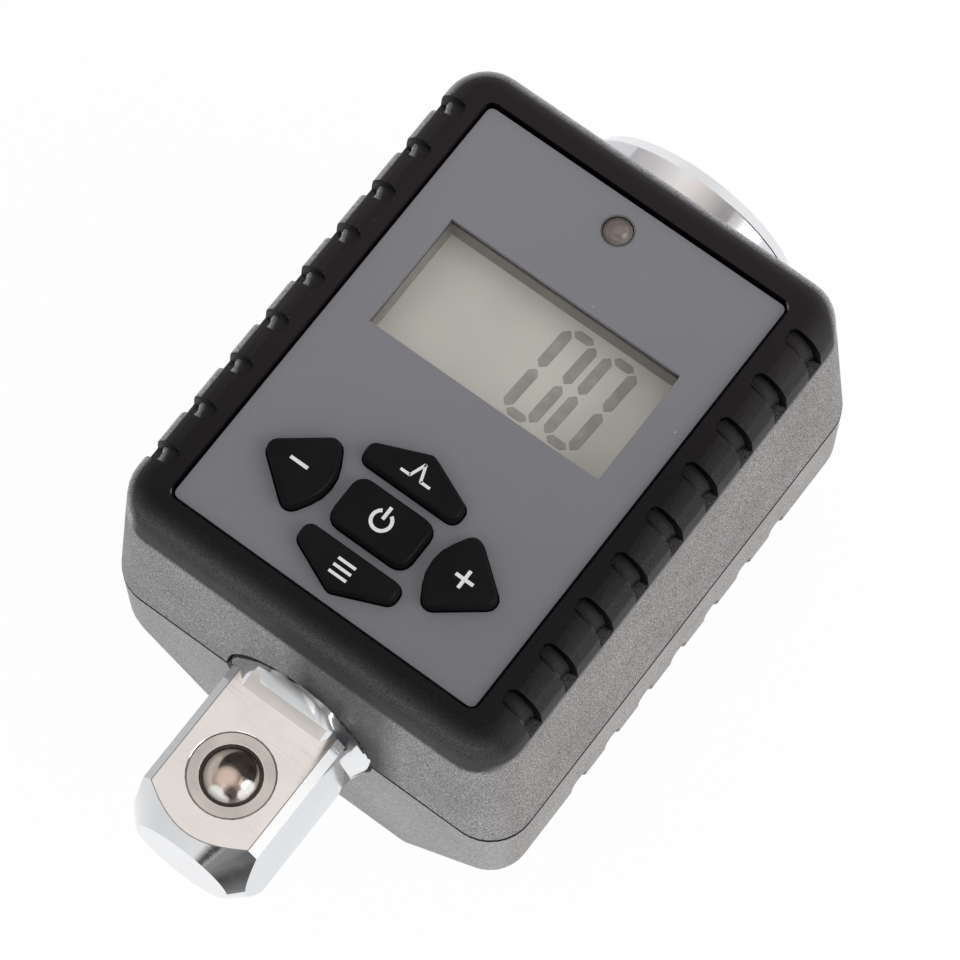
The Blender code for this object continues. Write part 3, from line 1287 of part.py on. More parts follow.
def make_screws(material):
    arm = SCREW_HEAD_RADIUS * 0.6
    slot = SCREW_HEAD_RADIUS * 0.15
    sets = (
        ("housing_screw", screw_places(), SCREW_SEAT_HEIGHT - SEAT_GAP, SHAFT_HEIGHT + SCREW_BITE),
        (
            "board_screw",
            [(x, BOARD_SCREW_Y) for x in (-BOARD_SCREW_X, BOARD_SCREW_X)],
            BOARD_BOTTOM - SEAT_GAP,
            BOARD_TOP + BOARD_SCREW_BITE,
        ),
    )
    for name, places, seat, end in sets:
        mesh = screw_mesh(name, end - seat, material)
        cut = bmesh.new()
        for x, y in places:
            cross = [(x + dx, y + dy) for dx, dy in plus_outline(arm, arm, slot, slot)]
            low = seat - SCREW_HEAD_THICK
            stack(cut, [flat_ring(cross, low - WALL), flat_ring(cross, low + SCREW_HEAD_THICK / 2)])
        cross_cutter = add_cutter("cut_" + name, cut)
        for number, (x, y) in enumerate(places, 1):
            combine(place_mesh(f"{name}_{number}", mesh, (x, y, seat)), cross_cutter)


def main():
    clear_scene()
    make_datum()
    black = make_material("black_plastic", (0.020, 0.019, 0.021), 0.42)
    grey = make_material("grey_panel", (0.21, 0.21, 0.22), 0.45)
    clear = make_material("clear_plastic", (0.95, 0.95, 0.95), 0.05, transmission=0.9)
    glass = make_material("lcd_glass", (0.48, 0.46, 0.41), 0.15)
    pale = make_material("pale_plastic", (0.35, 0.34, 0.32), 0.5)
    key = make_material("key_plastic", (0.008, 0.008, 0.009), 0.3)
    rubber = make_material("black_rubber", (0.02, 0.02, 0.02), 0.7)
    chrome = make_material("chromed_steel", (0.78, 0.77, 0.76), 0.12, 1.0)
    steel = make_material("bright_steel", (0.62, 0.60, 0.57), 0.25, 1.0)
    board = make_material("green_board", (0.02, 0.14, 0.06), 0.45)
    copper = make_material("gauge_foil", (0.72, 0.45, 0.22), 0.35, 0.6)
    cell = make_material("cell_wrap", (0.08, 0.10, 0.16), 0.35)
    lamp = make_material("led_lens", (0.45, 0.33, 0.30), 0.1, transmission=0.6)
    red = make_material("red_wire", (0.45, 0.02, 0.02), 0.5)
    white = make_material("white_wire", (0.7, 0.7, 0.68), 0.5)
    make_upper_housing(black)
    make_lower_housing(black)
    make_front_panel(grey)
    make_window_lens(clear)
    make_display(pale, glass, rubber)
    make_board(board)
    make_board_parts(black, key)
    make_led(lamp)
    make_keys(key, steel)
    make_shaft(chrome)
    make_detent(steel, steel)
    make_seals(rubber)
    make_pin(steel)
    make_gauges(copper)
    make_cells(cell)
    make_contacts(steel, steel)
    make_battery_leads(red, rubber)
    make_gauge_leads(white)
    make_cover(black)
    make_screws(steel)


main()
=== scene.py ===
import json
import math

import bmesh
import bpy
from mathutils import Matrix, Vector


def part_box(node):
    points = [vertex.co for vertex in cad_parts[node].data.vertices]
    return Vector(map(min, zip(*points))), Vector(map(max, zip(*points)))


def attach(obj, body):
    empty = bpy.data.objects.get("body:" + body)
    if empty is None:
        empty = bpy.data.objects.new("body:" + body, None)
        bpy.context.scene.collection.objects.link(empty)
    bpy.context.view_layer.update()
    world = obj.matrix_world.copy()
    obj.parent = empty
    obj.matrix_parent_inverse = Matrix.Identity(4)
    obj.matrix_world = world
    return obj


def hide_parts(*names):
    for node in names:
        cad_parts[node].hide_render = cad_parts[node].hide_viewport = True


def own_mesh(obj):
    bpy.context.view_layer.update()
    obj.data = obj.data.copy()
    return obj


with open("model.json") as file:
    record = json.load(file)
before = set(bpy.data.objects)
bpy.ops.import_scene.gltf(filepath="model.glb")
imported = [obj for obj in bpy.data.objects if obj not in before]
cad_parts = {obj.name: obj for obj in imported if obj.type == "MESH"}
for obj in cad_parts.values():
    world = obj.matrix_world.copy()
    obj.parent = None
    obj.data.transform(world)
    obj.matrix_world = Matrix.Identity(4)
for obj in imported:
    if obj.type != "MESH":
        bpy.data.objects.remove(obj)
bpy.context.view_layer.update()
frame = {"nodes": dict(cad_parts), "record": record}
nodes = frame["nodes"]
mm = 0.001
ownTrees = []       # every shader tree that is made here
print("frame loaded:", len(nodes), "nodes")


def middleOf(name):
    low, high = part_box(name)
    return (low + high) / 2


# Small helpers for materials

def addNode(tree, kind, **values):
    node = tree.nodes.new(kind)
    for name, value in values.items():
        setattr(node, name, value)
    return node


def join(tree, source, target):
    tree.links.new(source, target)


def feed(tree, socket, value):
    # The value is a number, a colour, or what another node puts out
    if isinstance(value, (int, float)):
        socket.default_value = value
    elif isinstance(value, tuple):
        socket.default_value = (*value, 1)
    elif value is not None:
        join(tree, value, socket)


def maths(tree, operation, first, second=None):
    node = addNode(tree, "ShaderNodeMath", operation=operation)
    feed(tree, node.inputs[0], first)
    feed(tree, node.inputs[1], second)
    return node.outputs[0]


def chained(operation):
    # A function that works through its values with one kind of maths node
    def work(tree, first, *others):
        for other in others:
            first = maths(tree, operation, first, other)
        return first
    return work


times = chained("MULTIPLY")
plus = chained("ADD")
minus = chained("SUBTRACT")
larger = chained("MAXIMUM")
above = chained("GREATER_THAN")       # 1 above the limit and 0 below it
below = chained("LESS_THAN")


def linear(tree, value, slope, start):
    return plus(tree, times(tree, value, slope), start)


def sizeOf(tree, value):
    return maths(tree, "ABSOLUTE", value)


def hypot(tree, first, second):
    squares = plus(tree, times(tree, first, first), times(tree, second, second))
    return maths(tree, "SQRT", squares)


def ramp(tree, value, low, high):
    # 0 at low and 1 at high, whichever of the two is the larger
    node = addNode(tree, "ShaderNodeMapRange", clamp=True)
    node.inputs["From Min"].default_value = low
    node.inputs["From Max"].default_value = high
    join(tree, value, node.inputs["Value"])
    return node.outputs["Result"]


def mixColour(tree, mask, first, second):
    # The node's two colours are its inputs 6 and 7
    node = addNode(tree, "ShaderNodeMix", data_type="RGBA")
    for index, value in zip((0, 6, 7), (mask, first, second)):
        feed(tree, node.inputs[index], value)
    return node.outputs[2]


def mixValue(tree, mask, first, second):
    # The node's two numbers are its inputs 2 and 3
    node = addNode(tree, "ShaderNodeMix")
    for index, value in zip((0, 2, 3), (mask, first, second)):
        feed(tree, node.inputs[index], value)
    return node.outputs[0]


def stops(tree, value, colours, interpolation="LINEAR"):
    # The colours are (place, colour) pairs, or (place, grey)
    node = addNode(tree, "ShaderNodeValToRGB")
    node.color_ramp.interpolation = interpolation
    elements = node.color_ramp.elements
    for index, (at, colour) in enumerate(colours):
        stop = elements[index] if index < 2 else elements.new(at)
        stop.position = at
        stop.color = (*colour, 1) if isinstance(colour, tuple) else (colour, colour, colour, 1)
    join(tree, value, node.inputs[0])
    return node.outputs[0]


def wornRoughness(tree, scratch, look, start):
    marks = times(tree, scratch["Marks"], look["markRoughness"])
    smudge = times(tree, scratch["Smudge"], look["smudgeRoughness"])
    return plus(tree, marks, smudge, start)


def objectPoint(tree):
    return addNode(tree, "ShaderNodeTexCoord").outputs["Object"]


def separate(tree, vector):
    node = addNode(tree, "ShaderNodeSeparateXYZ")
    join(tree, vector, node.inputs[0])
    return node.outputs


def leaning(tree, vector, axis):
    # How far a vector reaches along an axis
    node = addNode(tree, "ShaderNodeVectorMath", operation="DOT_PRODUCT")
    join(tree, vector, node.inputs[0])
    node.inputs[1].default_value = axis
    return node.outputs["Value"]


def noise(tree, point, scale, detail, roughness=0.5):
    node = addNode(tree, "ShaderNodeTexNoise")
    join(tree, point, node.inputs["Vector"])
    for name, value in (("Scale", scale), ("Detail", detail), ("Roughness", roughness)):
        feed(tree, node.inputs[name], value)
    return node.outputs["Fac"]


def bump(tree, height, strength, distance, shader):
    node = addNode(tree, "ShaderNodeBump")
    node.inputs["Strength"].default_value = strength
    node.inputs["Distance"].default_value = distance
    join(tree, height, node.inputs["Height"])
    join(tree, node.outputs["Normal"], shader.inputs["Normal"])


def newGroup(name, inputs, outputs):
    # All its sockets carry single values
    tree = bpy.data.node_groups.new(name, "ShaderNodeTree")
    for socketName, value in inputs.items():
        socket = tree.interface.new_socket(socketName, in_out="INPUT", socket_type="NodeSocketFloat")
        socket.default_value = value
    for socketName in outputs:
        tree.interface.new_socket(socketName, in_out="OUTPUT", socket_type="NodeSocketFloat")
    ownTrees.append(tree)
    return tree, addNode(tree, "NodeGroupInput"), addNode(tree, "NodeGroupOutput")


def place(tree, group, **values):
    node = addNode(tree, "ShaderNodeGroup")
    node.node_tree = group
    for name, value in values.items():
        node.inputs[name].default_value = value
    return node.outputs


def newMaterial(name, fixed=None):
    # The fixed values are the ones that are the same all over the surface
    material = bpy.data.materials.new(name)
    material.use_nodes = True
    tree = material.node_tree
    ownTrees.append(tree)
    shader = tree.nodes["Principled BSDF"]
    for socketName, value in (fixed or {}).items():
        shader.inputs[socketName].default_value = value
    return material, tree, shader


def scaled(colour, share):
    return tuple(part * share for part in colour)


def stain(tree, tone, mask, stained):
    # The stain is a colour and how much of it shows
    colour, share = stained
    return mixColour(tree, times(tree, mask, share), tone, colour)


def paint(tree, shader, tone, rough):
    feed(tree, shader.inputs["Base Color"], tone)
    feed(tree, shader.inputs["Roughness"], rough)


def mixShaders(tree, mask, first, second):
    mix = addNode(tree, "ShaderNodeMixShader")
    for source, socket in zip((mask, first.outputs[0], second.outputs[0]), mix.inputs):
        join(tree, source, socket)
    join(tree, mix.outputs[0], tree.nodes["Material Output"].inputs["Surface"])


def arrange(tree, column=220, row=180):
    # Lays the nodes out in columns, the ones that are used last at the right
    steps = {node.name: 0 for node in tree.nodes}
    moved = True
    while moved:
        moved = False
        for link in tree.links:
            least = steps[link.to_node.name] + 1
            if steps[link.from_node.name] < least:
                steps[link.from_node.name] = least
                moved = True
    filled = {}
    for node in tree.nodes:
        back = steps[node.name]
        filled[back] = filled.get(back, 0) + 1
        node.location = (-column * back, -row * filled[back])


# Shared effects

grainLook = {
    "coarse": 0.4,              # the coarse grain's scale and its share of the height
    "coarseShare": 0.5,
    "speckle": (0.36, 0.64),
    "cloudScale": 140.0,
    "cloud": (0.35, 0.68),
}


def makeGrainGroup():
    # Moulded texture: a height for the bump, a fine speckle and a slow cloud for colour
    look = grainLook
    tree, start, end = newGroup("mouldedGrain", {"Grain": 4500.0}, ("Height", "Speckle", "Cloud"))
    point = objectPoint(tree)
    fine = noise(tree, point, start.outputs["Grain"], detail=1.0)
    coarse = noise(tree, point, times(tree, start.outputs["Grain"], look["coarse"]), detail=1.0)
    join(tree, plus(tree, fine, times(tree, coarse, look["coarseShare"])), end.inputs["Height"])
    join(tree, ramp(tree, fine, *look["speckle"]), end.inputs["Speckle"])
    cloud = noise(tree, point, look["cloudScale"], detail=3.0, roughness=0.55)
    join(tree, ramp(tree, cloud, *look["cloud"]), end.inputs["Cloud"])
    return tree


scratchLook = {
    "turns": ((0.1, 0.2, 0.35), (0.1, 0.2, -0.9)),
    "stretch": (250, 9000, 3000),
    "streak": (0.62, 0.74),
    "smudgeScale": 260.0,
    "smudge": (0.38, 0.70),
}


def makeScratchGroup():
    # Hair-thin marks in two crossing directions
    look = scratchLook
    tree, start, end = newGroup("hairScratches", {"Size": 1.0}, ("Marks", "Smudge"))
    point = objectPoint(tree)
    strands = []
    for turn in look["turns"]:
        mapping = addNode(tree, "ShaderNodeMapping")
        mapping.inputs["Rotation"].default_value = turn
        mapping.inputs["Scale"].default_value = look["stretch"]
        join(tree, point, mapping.inputs["Vector"])
        streak = noise(tree, mapping.outputs["Vector"], start.outputs["Size"], detail=2.0, roughness=0.6)
        strands.append(ramp(tree, streak, *look["streak"]))
    join(tree, larger(tree, *strands), end.inputs["Marks"])
    smudge = noise(tree, point, look["smudgeScale"], detail=3.0, roughness=0.6)
    join(tree, ramp(tree, smudge, *look["smudge"]), end.inputs["Smudge"])
    return tree


dustLook = {"radius": 0.055, "patches": 700.0, "amount": 0.28}


def makeDustGroup():
    # Rare pale specks
    look = dustLook
    tree, start, end = newGroup("dustSpecks", {"Spacing": 900.0}, ("Specks",))
    point = objectPoint(tree)
    cells = addNode(tree, "ShaderNodeTexVoronoi")
    join(tree, point, cells.inputs["Vector"])
    join(tree, start.outputs["Spacing"], cells.inputs["Scale"])
    near = below(tree, cells.outputs["Distance"], look["radius"])
    few = below(tree, noise(tree, point, look["patches"], detail=0.0), look["amount"])
    join(tree, times(tree, near, few), end.inputs["Specks"])
    return tree


grainGroup = makeGrainGroup()
scratchGroup = makeScratchGroup()
dustGroup = makeDustGroup()
print("shared effects ready")


# Finishes of the housing and the panel

shellLook = {
    "wall": {"base": (0.066, 0.063, 0.063), "fleck": (0.415, 0.397, 0.390), "endLightShare": 0.16},
    "foot": {"base": (0.138, 0.133, 0.130), "fleck": (0.495, 0.478, 0.468), "endLightShare": 0.26},
    "grain": 7600.0,
    "endGrain": 6000.0,                     # on the front and back
    "endZone": (23.2 * mm, 24.6 * mm),      # from the middle of the housing along Y
    # The front and back faces are painted lighter towards this colour: painted light
    "endFacing": (0.35, 0.80),
    "endPaintedLight": (0.60, 0.61, 0.64),
    "cloud": 0.18,                          # how much of the base shows through the flecks in clouds
    "dust": (0.30, 0.30, 0.30),
    "dustSpacing": 1100.0,
    "roughness": (0.08, 0.44),              # what the clouds add, and where they start
    "fixed": {"Specular IOR Level": 0.11},
    "bump": (0.35, 0.11 * mm),
}
shaftShade = {
    "colour": (0.006, 0.006, 0.008),
    "across": 5.0 * mm,                 # where it is deepest along X
    "reach": (6.7 * mm, 3.9 * mm),
    "far": 0.62,
    "near": 0.28,                       # added near the shaft
    "close": (14 * mm, 8.8 * mm),
    "facing": (0.60, 0.90),
}
rimLook = {
    "base": (0.0040, 0.0032, 0.0040),
    "fleck": (0.0085, 0.0072, 0.0086),
    "drop": (5.1 * mm, 4.3 * mm),           # from the top: fully wall, fully rim
    "endDrop": (6.0 * mm, 5.3 * mm),        # the same on the front and back
    "jitter": 0.6 * mm,
    "pale": (0.0165, 0.0125, 0.0145),       # towards the back left corner
    "paleFrom": (-4 * mm, 14 * mm),
    # Painted highlight on the rim's rounded edge: the stops set its share by how level the surface is, then
    # its colour, its share on the sides, and how the speckle breaks it up
    "round": ((0.0, 0.10), (0.30, 0.55), (0.60, 0.92), (0.85, 0.30), (0.97, 0.0)),  # lift by how level it is
    "lift": (0.068, 0.068, 0.072),
    "sideHighlight": 0.30,
    "highlightGrain": (0.8, 0.6),                # how much the speckle counts, and the rest
    "notch": (0.0012, 0.0012, 0.0014),
    "notchFacing": (0.20, 0.50),
    "edge": (0.62, 0.60, 0.62),             # where the far outline catches the bright surroundings
    "edgeSheen": (0.45, 0.85),
    "edgeGrain": (0.9, 0.2),
    "edgeFacing": (0.25, 0.5),
}
seamShade = {"colour": (0.010, 0.009, 0.010), "below": 0.45 * mm, "above": 0.18 * mm}


def facing(tree, kind="Normal"):
    return separate(tree, addNode(tree, "ShaderNodeNewGeometry").outputs[kind])


def backLeft(tree):
    # How far a point lies towards the back left corner of the housing
    return leaning(tree, objectPoint(tree), (-0.60, 0.75, 0.0))


def shadeByShaft(tree, tone, point, normal):
    # The front wall lies in the shade beside the shaft
    look = shaftShade
    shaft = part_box("torsion_shaft")
    band = ramp(tree, sizeOf(tree, minus(tree, point["X"], look["across"])), *look["reach"])
    rise = minus(tree, point["Z"], (shaft[0].z + shaft[1].z) / 2)
    close = ramp(tree, hypot(tree, rise, point["X"]), *look["close"])
    depth = linear(tree, close, look["near"], look["far"])
    front = ramp(tree, times(tree, normal["Y"], -1.0), *look["facing"])
    return mixColour(tree, times(tree, depth, band, front), tone, look["colour"])


def darkenRim(tree, tone, point, normal, grain, speckle, atEnd, zone):
    # The wall darkens into the rim through a grainy band, narrow on the sides and deep on the ends
    rim = rimLook
    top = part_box("upper_housing")[1].z
    shift = times(tree, minus(tree, grain["Speckle"], 0.5), rim["jitter"])
    height = plus(tree, point["Z"], shift)
    onSide = ramp(tree, height, top - rim["drop"][0], top - rim["drop"][1])
    onEnd = ramp(tree, height, top - rim["endDrop"][0], top - rim["endDrop"][1])
    dark = mixColour(tree, grain["Speckle"], rim["base"], rim["fleck"])
    dark = mixColour(tree, ramp(tree, backLeft(tree), *rim["paleFrom"]), dark, rim["pale"])
    # Its rounded edge is painted lighter, a painted highlight, most of all on the front and back
    share = linear(tree, atEnd, 1.0 - rim["sideHighlight"], rim["sideHighlight"])
    grainy = linear(tree, speckle, *rim["highlightGrain"])
    share = times(tree, share, stops(tree, normal["Z"], rim["round"]), grainy)
    dark = mixColour(tree, share, dark, rim["lift"])
    # The notches' end walls stay in shadow
    notch = ramp(tree, sizeOf(tree, normal["Y"]), *rim["notchFacing"])
    dark = mixColour(tree, times(tree, notch, minus(tree, 1.0, zone)), dark, rim["notch"])
    # A sheen along the outline at the left and the back
    sheen = ramp(tree, addNode(tree, "ShaderNodeLayerWeight").outputs["Facing"], *rim["edgeSheen"])
    away = larger(tree, times(tree, normal["X"], -1.0), normal["Y"])
    sheen = times(tree, sheen, linear(tree, speckle, *rim["edgeGrain"]), ramp(tree, away, *rim["edgeFacing"]))
    dark = mixColour(tree, sheen, dark, rim["edge"])
    return mixColour(tree, mixValue(tree, atEnd, onSide, onEnd), tone, dark)


def makeShellMaterial(name, look, hasRim):
    shell = shellLook
    material, tree, shader = newMaterial(name, shell["fixed"])
    grain = place(tree, grainGroup, Grain=shell["grain"])
    endGrain = place(tree, grainGroup, Grain=shell["endGrain"])
    point = separate(tree, objectPoint(tree))
    normal = facing(tree)
    low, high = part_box("upper_housing")
    along = minus(tree, point["Y"], (low.y + high.y) / 2)
    zone = ramp(tree, sizeOf(tree, along), *shell["endZone"])
    atEnd = times(tree, ramp(tree, sizeOf(tree, normal["Y"]), *shell["endFacing"]), zone)
    speckle = mixValue(tree, atEnd, grain["Speckle"], endGrain["Speckle"])
    tone = mixColour(tree, speckle, look["base"], look["fleck"])
    tone = stain(tree, tone, grain["Cloud"], (look["base"], shell["cloud"]))
    # The front and back faces are painted lighter: painted light
    tone = stain(tree, tone, atEnd, (shell["endPaintedLight"], look["endLightShare"]))
    if hasRim:
        tone = shadeByShaft(tree, tone, point, normal)
        tone = darkenRim(tree, tone, point, normal, grain, speckle, atEnd, zone)
    dust = place(tree, dustGroup, Spacing=shell["dustSpacing"])
    tone = mixColour(tree, dust["Specks"], tone, shell["dust"])
    # The parting line between the shells stays dark
    rise = minus(tree, point["Z"], low.z)
    seam = times(tree, above(tree, rise, -seamShade["below"]), below(tree, rise, seamShade["above"]))
    tone = mixColour(tree, seam, tone, seamShade["colour"])
    paint(tree, shader, tone, linear(tree, grain["Cloud"], *shell["roughness"]))
    bump(tree, grain["Height"], *shell["bump"], shader)
    return material


panelLook = {
    "colour": (0.166, 0.164, 0.180),
    "light": ((0.198, 0.196, 0.214), 0.35),
    "shade": (0.965, 0.4),              # of the colour, in clouds
    "pale": ((0.226, 0.223, 0.244), 0.9),
    "paleFrom": (-24 * mm, 34 * mm),    # towards the back left corner
    "dust": (0.5, 0.5, 0.5),
    "dustSpacing": 600.0,
    "grain": 7000.0,
    "roughness": (-5.0, 6.0),           # it rises from 0 to 1 while the clouds run between these
    "fixed": {"Specular IOR Level": 0.25},
    "bump": (0.12, 0.05 * mm),
}


def makePanelMaterial():
    look = panelLook
    material, tree, shader = newMaterial("greyPanelPaint", look["fixed"])
    grain = place(tree, grainGroup, Grain=look["grain"])
    dust = place(tree, dustGroup, Spacing=look["dustSpacing"])
    depth, share = look["shade"]
    tone = stain(tree, look["colour"], grain["Speckle"], look["light"])
    tone = stain(tree, tone, grain["Cloud"], (scaled(look["colour"], depth), share))
    tone = stain(tree, tone, ramp(tree, backLeft(tree), *look["paleFrom"]), look["pale"])
    tone = mixColour(tree, dust["Specks"], tone, look["dust"])
    paint(tree, shader, tone, ramp(tree, grain["Cloud"], *look["roughness"]))
    bump(tree, grain["Height"], *look["bump"], shader)
    return material


# Finishes of the keys, the legends and the display

keyLook = {
    "colour": (0.0040, 0.0040, 0.0045),
    "cloud": (0.0075, 0.0075, 0.0080),
    "grain": 3200.0,
    "scratch": 0.6,
    "roughness": 0.34,
    "markRoughness": 0.05,
    "smudgeRoughness": 0.09,
    "fixed": {"Specular IOR Level": 0.07},
    "bump": (0.06, 0.06 * mm),
}


def makeKeyMaterial():
    look = keyLook
    material, tree, shader = newMaterial("keyPlastic", look["fixed"])
    grain = place(tree, grainGroup, Grain=look["grain"])
    scratch = place(tree, scratchGroup, Size=look["scratch"])
    tone = mixColour(tree, grain["Cloud"], look["colour"], look["cloud"])
    paint(tree, shader, tone, wornRoughness(tree, scratch, look, look["roughness"]))
    bump(tree, grain["Height"], *look["bump"], shader)
    return material


printLook = {
    "colour": (0.82, 0.82, 0.82),
    "worn": (0.62, 0.62, 0.62),
    "roughness": 0.5,
    "grain": 9000.0,
    "bump": (0.1, 0.03 * mm),
}


def makePrintMaterial():
    look = printLook
    material, tree, shader = newMaterial("whitePrint")
    grain = place(tree, grainGroup, Grain=look["grain"])
    tone = mixColour(tree, grain["Speckle"], look["colour"], look["worn"])
    paint(tree, shader, tone, look["roughness"])
    bump(tree, grain["Height"], *look["bump"], shader)
    return material


lensLook = {
    "colour": (0.98, 0.98, 0.98),
    "scratch": 0.5,
    "roughness": (0.08, 0.02),          # what the marks add, and where they start
    "fixed": {"Transmission Weight": 1.0, "IOR": 1.25},
}


def makeLensMaterial():
    # Clear to shadow rays, so that the display below keeps its light
    look = lensLook
    material, tree, shader = newMaterial("clearWindow", look["fixed"])
    scratch = place(tree, scratchGroup, Size=look["scratch"])
    paint(tree, shader, look["colour"], linear(tree, scratch["Marks"], *look["roughness"]))
    rays = addNode(tree, "ShaderNodeLightPath").outputs
    hidden = larger(tree, rays["Is Shadow Ray"], rays["Is Diffuse Ray"])
    mixShaders(tree, hidden, shader, addNode(tree, "ShaderNodeBsdfTransparent"))
    return material


crystalLook = {
    "colour": (0.640, 0.610, 0.545),
    "shade": (0.570, 0.545, 0.490),
    "speck": ((0.30, 0.29, 0.27), 0.12),
    "patch": 90.0,
    "patchRange": (0.35, 0.70),
    "fine": 9000.0,
    "roughness": (-2.0, 4.2),
}


def makeCrystalMaterial():
    look = crystalLook
    material, tree, shader = newMaterial("liquidCrystal")
    point = objectPoint(tree)
    patch = ramp(tree, noise(tree, point, look["patch"], detail=2.0), *look["patchRange"])
    fine = noise(tree, point, look["fine"], detail=1.0)
    tone = mixColour(tree, patch, look["colour"], look["shade"])
    tone = stain(tree, tone, fine, look["speck"])
    paint(tree, shader, tone, ramp(tree, fine, *look["roughness"]))
    return material


segmentLook = {
    "colour": (0.265, 0.257, 0.232),
    "faded": (0.345, 0.333, 0.300),
    "patch": 900.0,
    "patchRange": (0.35, 0.7),
    "roughness": 0.35,
}


def makeSegmentMaterial():
    look = segmentLook
    material, tree, shader = newMaterial("crystalSegment")
    patch = noise(tree, objectPoint(tree), look["patch"], detail=2.0)
    fade = ramp(tree, patch, *look["patchRange"])
    paint(tree, shader, mixColour(tree, fade, look["colour"], look["faded"]), look["roughness"])
    return material


# Finishes of the shaft, the ball and the lamp

halfDrive = 6.35 * mm
chromeLook = {
    "colour": (0.80, 0.81, 0.83),
    # The flat, its ramp and the square's sides get painted reflection tones by which way they face
    "flat": (0.800, 0.740, 0.700),
    "flatFacing": (0.990, 0.997),
    "ramp": (0.600, 0.565, 0.530),
    "rampFacing": (0.960, 0.975),
    # Painted reflection tones across the turned tip, from side to side
    "tip": ((0.00, 0.95), (0.35, 0.66), (0.54, 0.80), (0.66, 0.72), (0.70, 0.22), (0.79, 0.06), (0.85, 0.10),
            (1.0, 0.80)),
    "tipTint": (0.97, 0.98, 1.0),
    "tipFacing": (0.60, 0.66),
    "tipLevel": 0.05,
    "side": (0.66, 0.69, 0.73),
    "sideFacing": (0.88, 0.96),
    # Painted reflection tones of the long chamfers
    "leftChamferReflection": (0.60, 0.61, 0.63),
    "rightChamferReflection": (0.97, 0.97, 0.97),
    "edgeFacing": (0.60, 0.66),
    "driveEnds": -18 * mm,          # the drive lies on this side of it along Y, the collar beyond its mirror
    "rootStarts": -24.6 * mm,
    "ledge": (28.9 * mm, 29.6 * mm),
    "rootShade": (0.20, 0.195, 0.195),
    # Painted reflection bands across the collar, by which way it faces
    "round": ((-1.0, (0.927, 0.915, 0.95)), (-0.52, (0.854, 0.854, 0.903)), (-0.50, (0.61, 0.61, 0.647)),
              (-0.41, (0.732, 0.708, 0.732)), (-0.19, (0.854, 0.83, 0.83)), (-0.05, (0.95, 0.939, 0.927)),
              (0.08, (0.83, 0.769, 0.756)), (0.15, (0.683, 0.659, 0.622)), (0.28, (0.525, 0.512, 0.5)),
              (0.35, (0.403, 0.39, 0.403)), (0.46, (0.415, 0.403, 0.415)), (0.49, (0.488, 0.488, 0.5)),
              (0.52, (0.76, 0.75, 0.79)), (1.0, (0.78, 0.77, 0.81))),
    "roundFacing": 0.40,
    "outline": (0.26, 0.245, 0.235),
    "outlineWidth": 0.12 * mm,
    "flatHalf": 5.40 * mm,          # half the flat's width, inside its outline
    "tipRadius": 5.2 * mm,
    "line": (0.03, 0.03, 0.03),
    "lineBack": 1.2 * mm,           # from the collar's end to the edge of its chamfer
    "lineHalf": 0.07 * mm,
    "lineFrom": (4.0 * mm, 6.5 * mm),
    "smudge": ((0.55, 0.52, 0.49), 0.10),
    "marks": ((0.62, 0.59, 0.56), 0.18),
    "paintedToneShare": 0.8,
    "roughness": 0.08,
    "markRoughness": 0.14,
    "flatRoughness": 0.12,
    "smudgeRoughness": 0.05,
    "bump": (0.05, 0.02 * mm),
}


def shadeSquare(tree, point, flat, across, up, onDrive):
    # Painted reflection tones by which way each face looks: the creamy flat with its ramp, the turned tip,
    # the cool sides and the long chamfers; and the painted shade of the root
    look = chromeLook
    onSquare = below(tree, point["Y"], look["rootStarts"])
    slope = times(tree, ramp(tree, flat["Z"], *look["rampFacing"]), onDrive)
    tone = mixColour(tree, slope, look["colour"], look["ramp"])
    tone = mixColour(tree, up, tone, look["flat"])
    tip = stops(tree, across, [(at, scaled(look["tipTint"], level)) for at, level in look["tip"]], "EASE")
    cone = ramp(tree, times(tree, flat["Y"], -1.0), *look["tipFacing"])
    cone = times(tree, cone, above(tree, flat["Z"], look["tipLevel"]), onSquare)
    tone = mixColour(tree, cone, tone, tip)
    sides = times(tree, ramp(tree, sizeOf(tree, flat["X"]), *look["sideFacing"]), onSquare)
    tone = mixColour(tree, sides, tone, look["side"])
    low, high = look["edgeFacing"]
    long = times(tree, ramp(tree, flat["Z"], low, high), onSquare)
    left = times(tree, long, ramp(tree, flat["X"], -low, -high))
    right = times(tree, long, ramp(tree, flat["X"], low, high))
    tone = mixColour(tree, left, tone, look["leftChamferReflection"])
    tone = mixColour(tree, right, tone, look["rightChamferReflection"])
    atRoot = times(tree, onDrive, above(tree, point["Y"], look["rootStarts"]))
    shaded = times(tree, atRoot, ramp(tree, point["Z"], *look["ledge"]))
    return mixColour(tree, shaded, tone, look["rootShade"]), plus(tree, left, right)


